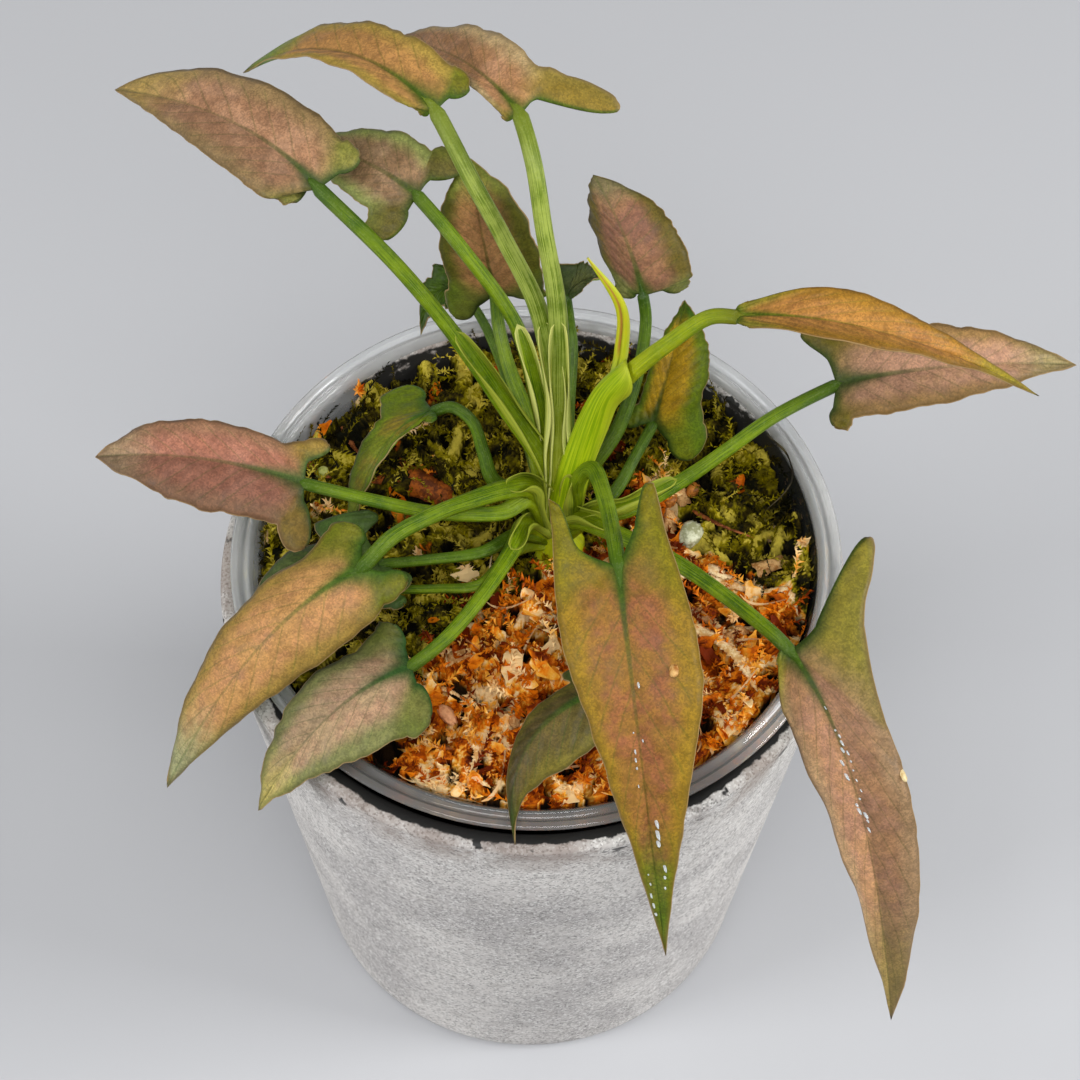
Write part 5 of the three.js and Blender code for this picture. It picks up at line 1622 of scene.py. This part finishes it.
def bit_finish(name, light, dark, grain_scale=3000.0, roughness=0.7):
    """Dry plant matter in two tones, with a grain."""
    material, place = new_finish(name)
    tone = noise(place, 520.0, 4.0, 0.65).ramp(0.38, 0.62).mix(dark, light)
    tone, _ = speckled(place.tree, tone, light, dark, grain_scale, 0.3, 0.5, 300.0)
    return dress(material, tone, roughness, noise(place, 1500.0, 3.0, 0.6), 0.6, 0.2, specular=0.25)


def merged(parts):
    """Points and faces of several meshes as one."""
    points, faces, start = [], [], 0
    for part_points, part_faces in parts:
        points.append(part_points)
        faces += [tuple(i + start for i in face) for face in part_faces]
        start += len(part_points)
    return np.vstack(points), faces


def keep_bit(name, parts, finish):
    """Small things of one kind are one piece, and they stand for the moss bed."""
    keep(piece_from(name, *merged(parts), [finish]), "moss", "moss_bed")


# %% Frayed strands
STRAW_RINGS, STRAW_SIDES = 44, 6


def frayed_strand(path, width, seed, fray=0.9, flat=0.35):
    """A flat strand along (x, y, z) points that tapers, with teeth where its edge has frayed."""
    rng = random.Random(seed)
    curve = [np.array(p, float) for p in path]
    rings = []
    for i in range(STRAW_RINGS + 1):
        t = i / STRAW_RINGS
        at = spline(curve, t)
        along = direction_of(curve, t, 0.02)
        side = unit(np.cross(along, (0.25 * math.sin(5 * t + seed), 0, 1.0)))
        up = np.cross(side, along)
        half = width / 2 * (1 - 0.6 * t) * min(1, 0.35 + 6 * t, 0.12 + 8 * (1 - t))
        teeth = [1 + fray * rng.random() * (i % 2), 1 + fray * rng.random() * ((i + 1) % 2)]
        ring = []
        for w in turns(STRAW_SIDES):
            spread = teeth[0] if math.cos(w) > 0 else teeth[1]
            ring.append(at + side * half * spread * math.cos(w) + up * half * flat * math.sin(w))
        rings.append(ring)
    return turned_round(tube(rings))


on_moss = plumb(ground)


def laid(path, lift):
    """The path's (x, y) points at the height of the moss below, plus a lift."""
    return [(x, y, on_moss(x, y, 0.8) + lift) for x, y in path]


STRAND_PATHS = [([(22.5, -8), (26.5, -10.5), (30, -15), (32.5, -19.5)], 2.0, 31),
                ([(22.0, -3.5), (26, -6), (28.5, -10.5), (29.5, -15)], 1.6, 32),
                ([(20.5, 1.5), (27, 0.5), (33.5, -0.5), (37.5, -2), (39, -6)], 1.5, 33),
                ([(26, 3.5), (28.5, 1.5), (31.5, 0.5), (34.5, 1)], 1.9, 34),
                ([(-14.5, -18.5), (-12, -20), (-9, -19.5), (-6.5, -21)], 0.9, 35),
                ([(-9, -27), (-7.5, -30), (-8, -34), (-5.5, -36)], 1.3, 36),
                ([(-8, -7), (-10.5, -9.5), (-13.5, -10)], 1.6, 37)]  # (x, y) points, width, seed
SLIVER_PATHS = [([(-35.5, 22), (-33, 19), (-30.5, 17.5)], 1.3, 41),
                ([(-29.5, 27.5), (-27.5, 24.5), (-26.5, 21)], 1.0, 42),
                ([(24, 14), (28, 10.5), (33, 8.5)], 0.8, 43),
                ([(-17, -27), (-14.5, -29), (-11, -30)], 1.4, 44)]
straws = [frayed_strand(laid(path, 0.3), width, seed) for path, width, seed in STRAND_PATHS]
keep_bit("pale_frayed_strands", straws, bit_finish("frayed_straw", "FFE6B4", "DCA55F"))
slivers = [frayed_strand(laid(path, 0.4), width, seed, 0.4) for path, width, seed in SLIVER_PATHS]
keep_bit("brown_slivers", slivers, bit_finish("dead_stalk_brown", "AA6432", "5F2D0F"))

# %% Papery scraps
def scrap(corners, bulge, seed, steps=(12, 7)):
    """A curled sheet between four corners, bulging upwards, with a ragged edge, closed over its thickness."""
    rng = random.Random(seed)
    a, b, c, d = (np.array(p, float) for p in corners)
    upper, lower = [], []
    for i in range(steps[0] + 1):
        u = i / steps[0]
        for j in range(steps[1] + 1):
            v = j / steps[1]
            at = (a * (1 - u) + b * u) * (1 - v) + (d * (1 - u) + c * u) * v
            edge = min(u, 1 - u, v, 1 - v)
            ragged = np.array([rng.uniform(-1, 1), rng.uniform(-1, 1), 0]) * 0.22 * (edge < 0.01)
            fold = 0.16 * math.sin(19 * v + 4 * u) * min(1, 5 * edge)
            rise = bulge * math.sin(math.pi * u) ** 0.7 * math.sin(math.pi * v) ** 0.7 + fold
            half = 0.02 + 0.08 * min(1, 6 * edge)
            upper.append(at + ragged + (0, 0, rise + half))
            lower.append(at + ragged + (0, 0, rise - half))
    faces = [(p, s, r, q) for p, q, r, s in grid_faces(*steps)]
    return closed_sheet(upper, lower, faces)


FOOT_CORNERS = [((-24.5, 17.5), 0.6), ((-12.5, 13), 0.5), ((-12.0, 16), 0.7), ((-20.5, 21.5), 1.6)]
TAN_SCRAPS = [((35.5, 4.5), 5.0, 0.4), ((22, 16.5), 3.6, 2.1), ((20.5, 11.5), 4.4, 1.2), ((30, -9), 3.8, 0.7),
              ((-3.5, -24), 4.2, 2.6), ((-10.5, -14.5), 3.6, 0.2)]  # (x, y) of the middle, length, turn
old_foot = scrap([(*p, on_moss(*p, 0.6) + lift) for p, lift in FOOT_CORNERS], 1.6, 51)
keep_bit("papery_leaf_foot", [old_foot], bit_finish("papery_brown", "AF5A14", "5A2805"))
parts = []
for number, (middle, length, turn) in enumerate(TAN_SCRAPS):
    along = np.array([math.cos(turn), math.sin(turn)]) * length / 2
    aside = np.array([-along[1], along[0]]) * 0.62
    offsets = (-along - aside, along - aside * 0.6, along + aside, -along + aside * 0.8)
    corners = [np.array(middle) + offset for offset in offsets]
    parts.append(scrap([(*p, on_moss(*p, 0.5) + 0.3) for p in corners], 0.9, 60 + number, (8, 6)))
keep_bit("tan_scraps", parts, bit_finish("papery_tan", "E1B478", "A56E37"))

# %% Seeds, crumbs and buds
PEBBLE_RINGS, PEBBLE_SIDES = 9, 14


def pebble(at, size, turn, seed):
    """A lumpy closed ellipsoid of size (length, width, height) at a point in mm."""
    rings = []
    for i in range(PEBBLE_RINGS + 1):
        tilt = math.pi * (0.04 + 0.92 * i / PEBBLE_RINGS)
        ring = []
        for w in turns(PEBBLE_SIDES):
            lump = 1 + 0.13 * math.sin(3 * w + seed) * math.sin(2 * tilt + seed)
            lump += 0.07 * math.sin(7 * w + 5 * tilt)
            x = size[0] / 2 * lump * math.cos(tilt)
            y = size[1] / 2 * lump * math.sin(tilt) * math.cos(w)
            z = size[2] / 2 * lump * math.sin(tilt) * math.sin(w)
            ring.append((at[0] + x * math.cos(turn) - y * math.sin(turn),
                         at[1] + x * math.sin(turn) + y * math.cos(turn), at[2] + z))
        rings.append(ring)
    return turned_round(tube(rings))


on_front_leaf, on_right_leaf = plumb(blades["leaf_17_front"]), plumb(blades["leaf_18_front_right"])
PEBBLES = {
    "pink_seed": ([(-12, -24.5, on_moss(-12, -24.5, 1) + 0.4)], (3.6, 2.0, 1.8), 2.3, "F5B482", "D28C5F"),
    "pale_bark_chunk": ([(23.5, 8.5, on_moss(23.5, 8.5, 1) + 0.3)], (4.4, 3.4, 2.6), 1.2, "DCDCBE", "96966E"),
    "round_bud": ([(-32, 18.5, on_moss(-32, 18.5, 0.6) + 0.4)], (2.0, 1.7, 1.6), 0.4, "DCDC82", "A0AA3C"),
    "orange_nugget": ([(24, 17, on_moss(24, 17, 0.6) + 0.5), (20.5, 14.5, on_moss(20.5, 14.5, 0.6) + 0.3)],
                      (2.6, 2.0, 1.8), 0.9, "C87D32", "7D4614"),
    "leaf_crumb": ([(19, -32, on_front_leaf(19, -32) + 0.35)], (1.9, 1.3, 0.9), 1.4, "DCB06E", "A5692D"),
    "edge_crumb": ([(51, -39, on_right_leaf(51, -39) + 0.2)], (2.3, 0.8, 0.6), 1.9, "F0DCAA", "D2B478"),
}  # places, size, turn, light and dark
for name, (places, size, turn, light, dark) in PEBBLES.items():
    parts = [pebble(at, size, turn, 3.0 * i + len(name)) for i, at in enumerate(places)]
    keep_bit(name, parts, bit_finish(name + "_skin", light, dark, 2400.0, 0.5))

# %% A dark root hair at the wall
HAIR = [(35, 23.5, 0.0), (38, 20.5, -0.6), (38.8, 17, -1.2), (37.5, 14.5, -2.2), (34.5, 12.5, -4.5)]
hair = frayed_strand([placed(point) for point in HAIR], 0.42, 71, 0.2, 0.9)
keep_bit("root_hair", [hair], bit_finish("root_dark", "50462D", "231E14"))

# %% [markdown]
# ## Dew
# Drops of water cling along the midribs of the two front leaves. A drop on velvet is a low dome that is
# longer along the vein, and its near-white colour is a painted glint. Each row of drops says on which half of
# the leaf it lies, how far beside the midrib, where along it the row starts and ends, how many drops it has,
# and how wide they are.

# %% Dew drops
DEW_ROWS = {
    "leaf_17_front": [(0, 0.3, 0.49, 0.58, 5, 0.55), (1, 0.3, 0.71, 0.76, 3, 0.6),
                      (1, 1.0, 0.81, 0.86, 3, 0.6), (0, 1.1, 0.83, 0.92, 5, 0.5),
                      (1, 0.6, 0.36, 0.37, 1, 0.4), (0, 0.6, 0.62, 0.63, 1, 0.3)],
    "leaf_18_front_right": [(0, 0.7, 0.31, 0.37, 4, 0.7), (0, 1.7, 0.4, 0.44, 2, 0.45),
                            (1, 0.2, 0.38, 0.49, 5, 0.4), (0, 0.9, 0.51, 0.55, 4, 0.7),
                            (0, 0.2, 0.57, 0.59, 2, 0.3), (0, 0.7, 0.23, 0.24, 1, 0.3)],
}


def dew_finish():
    material, place = new_finish("dew_water")
    # near-white: a painted glint, since clear water shows little in soft light
    return dress(material, noise(place, 900.0).mix("FFFFFF", "E6F5FA"), 0.06, transmission=0.5, ior=1.33)


parts = []
for plant_leaf in [item for item in LEAVES if item["node"] in DEW_ROWS]:
    surface = surface_of(blades[plant_leaf["node"]])
    for row, (k, aside, first, last, count, wide) in enumerate(DEW_ROWS[plant_leaf["node"]]):
        sideways = unit(reach_of(plant_leaf, k))
        for i in range(count):
            t = first + (last - first) * i / max(count - 1, 1)
            beside = midrib_point(plant_leaf, t) + sideways * (aside + 0.15 * math.sin(5 * i + row))
            beside = beside + (0, -1, 2)
            at = surface.find_nearest(Vector(beside))[0]
            ahead = midrib_point(plant_leaf, t + 0.02) - midrib_point(plant_leaf, t)
            size = wide * (0.4 + 0.5 * math.sin(3 * i + 2 * row) ** 2)
            long = size * (1.3 + 3.4 * math.sin(7 * i + row) ** 2)
            parts.append(pebble(at, (long, size, size), math.atan2(ahead[1], ahead[0]), i + row))
keep(piece_from("dew_drops", *merged(parts), [dew_finish()]), "leaf_pink")
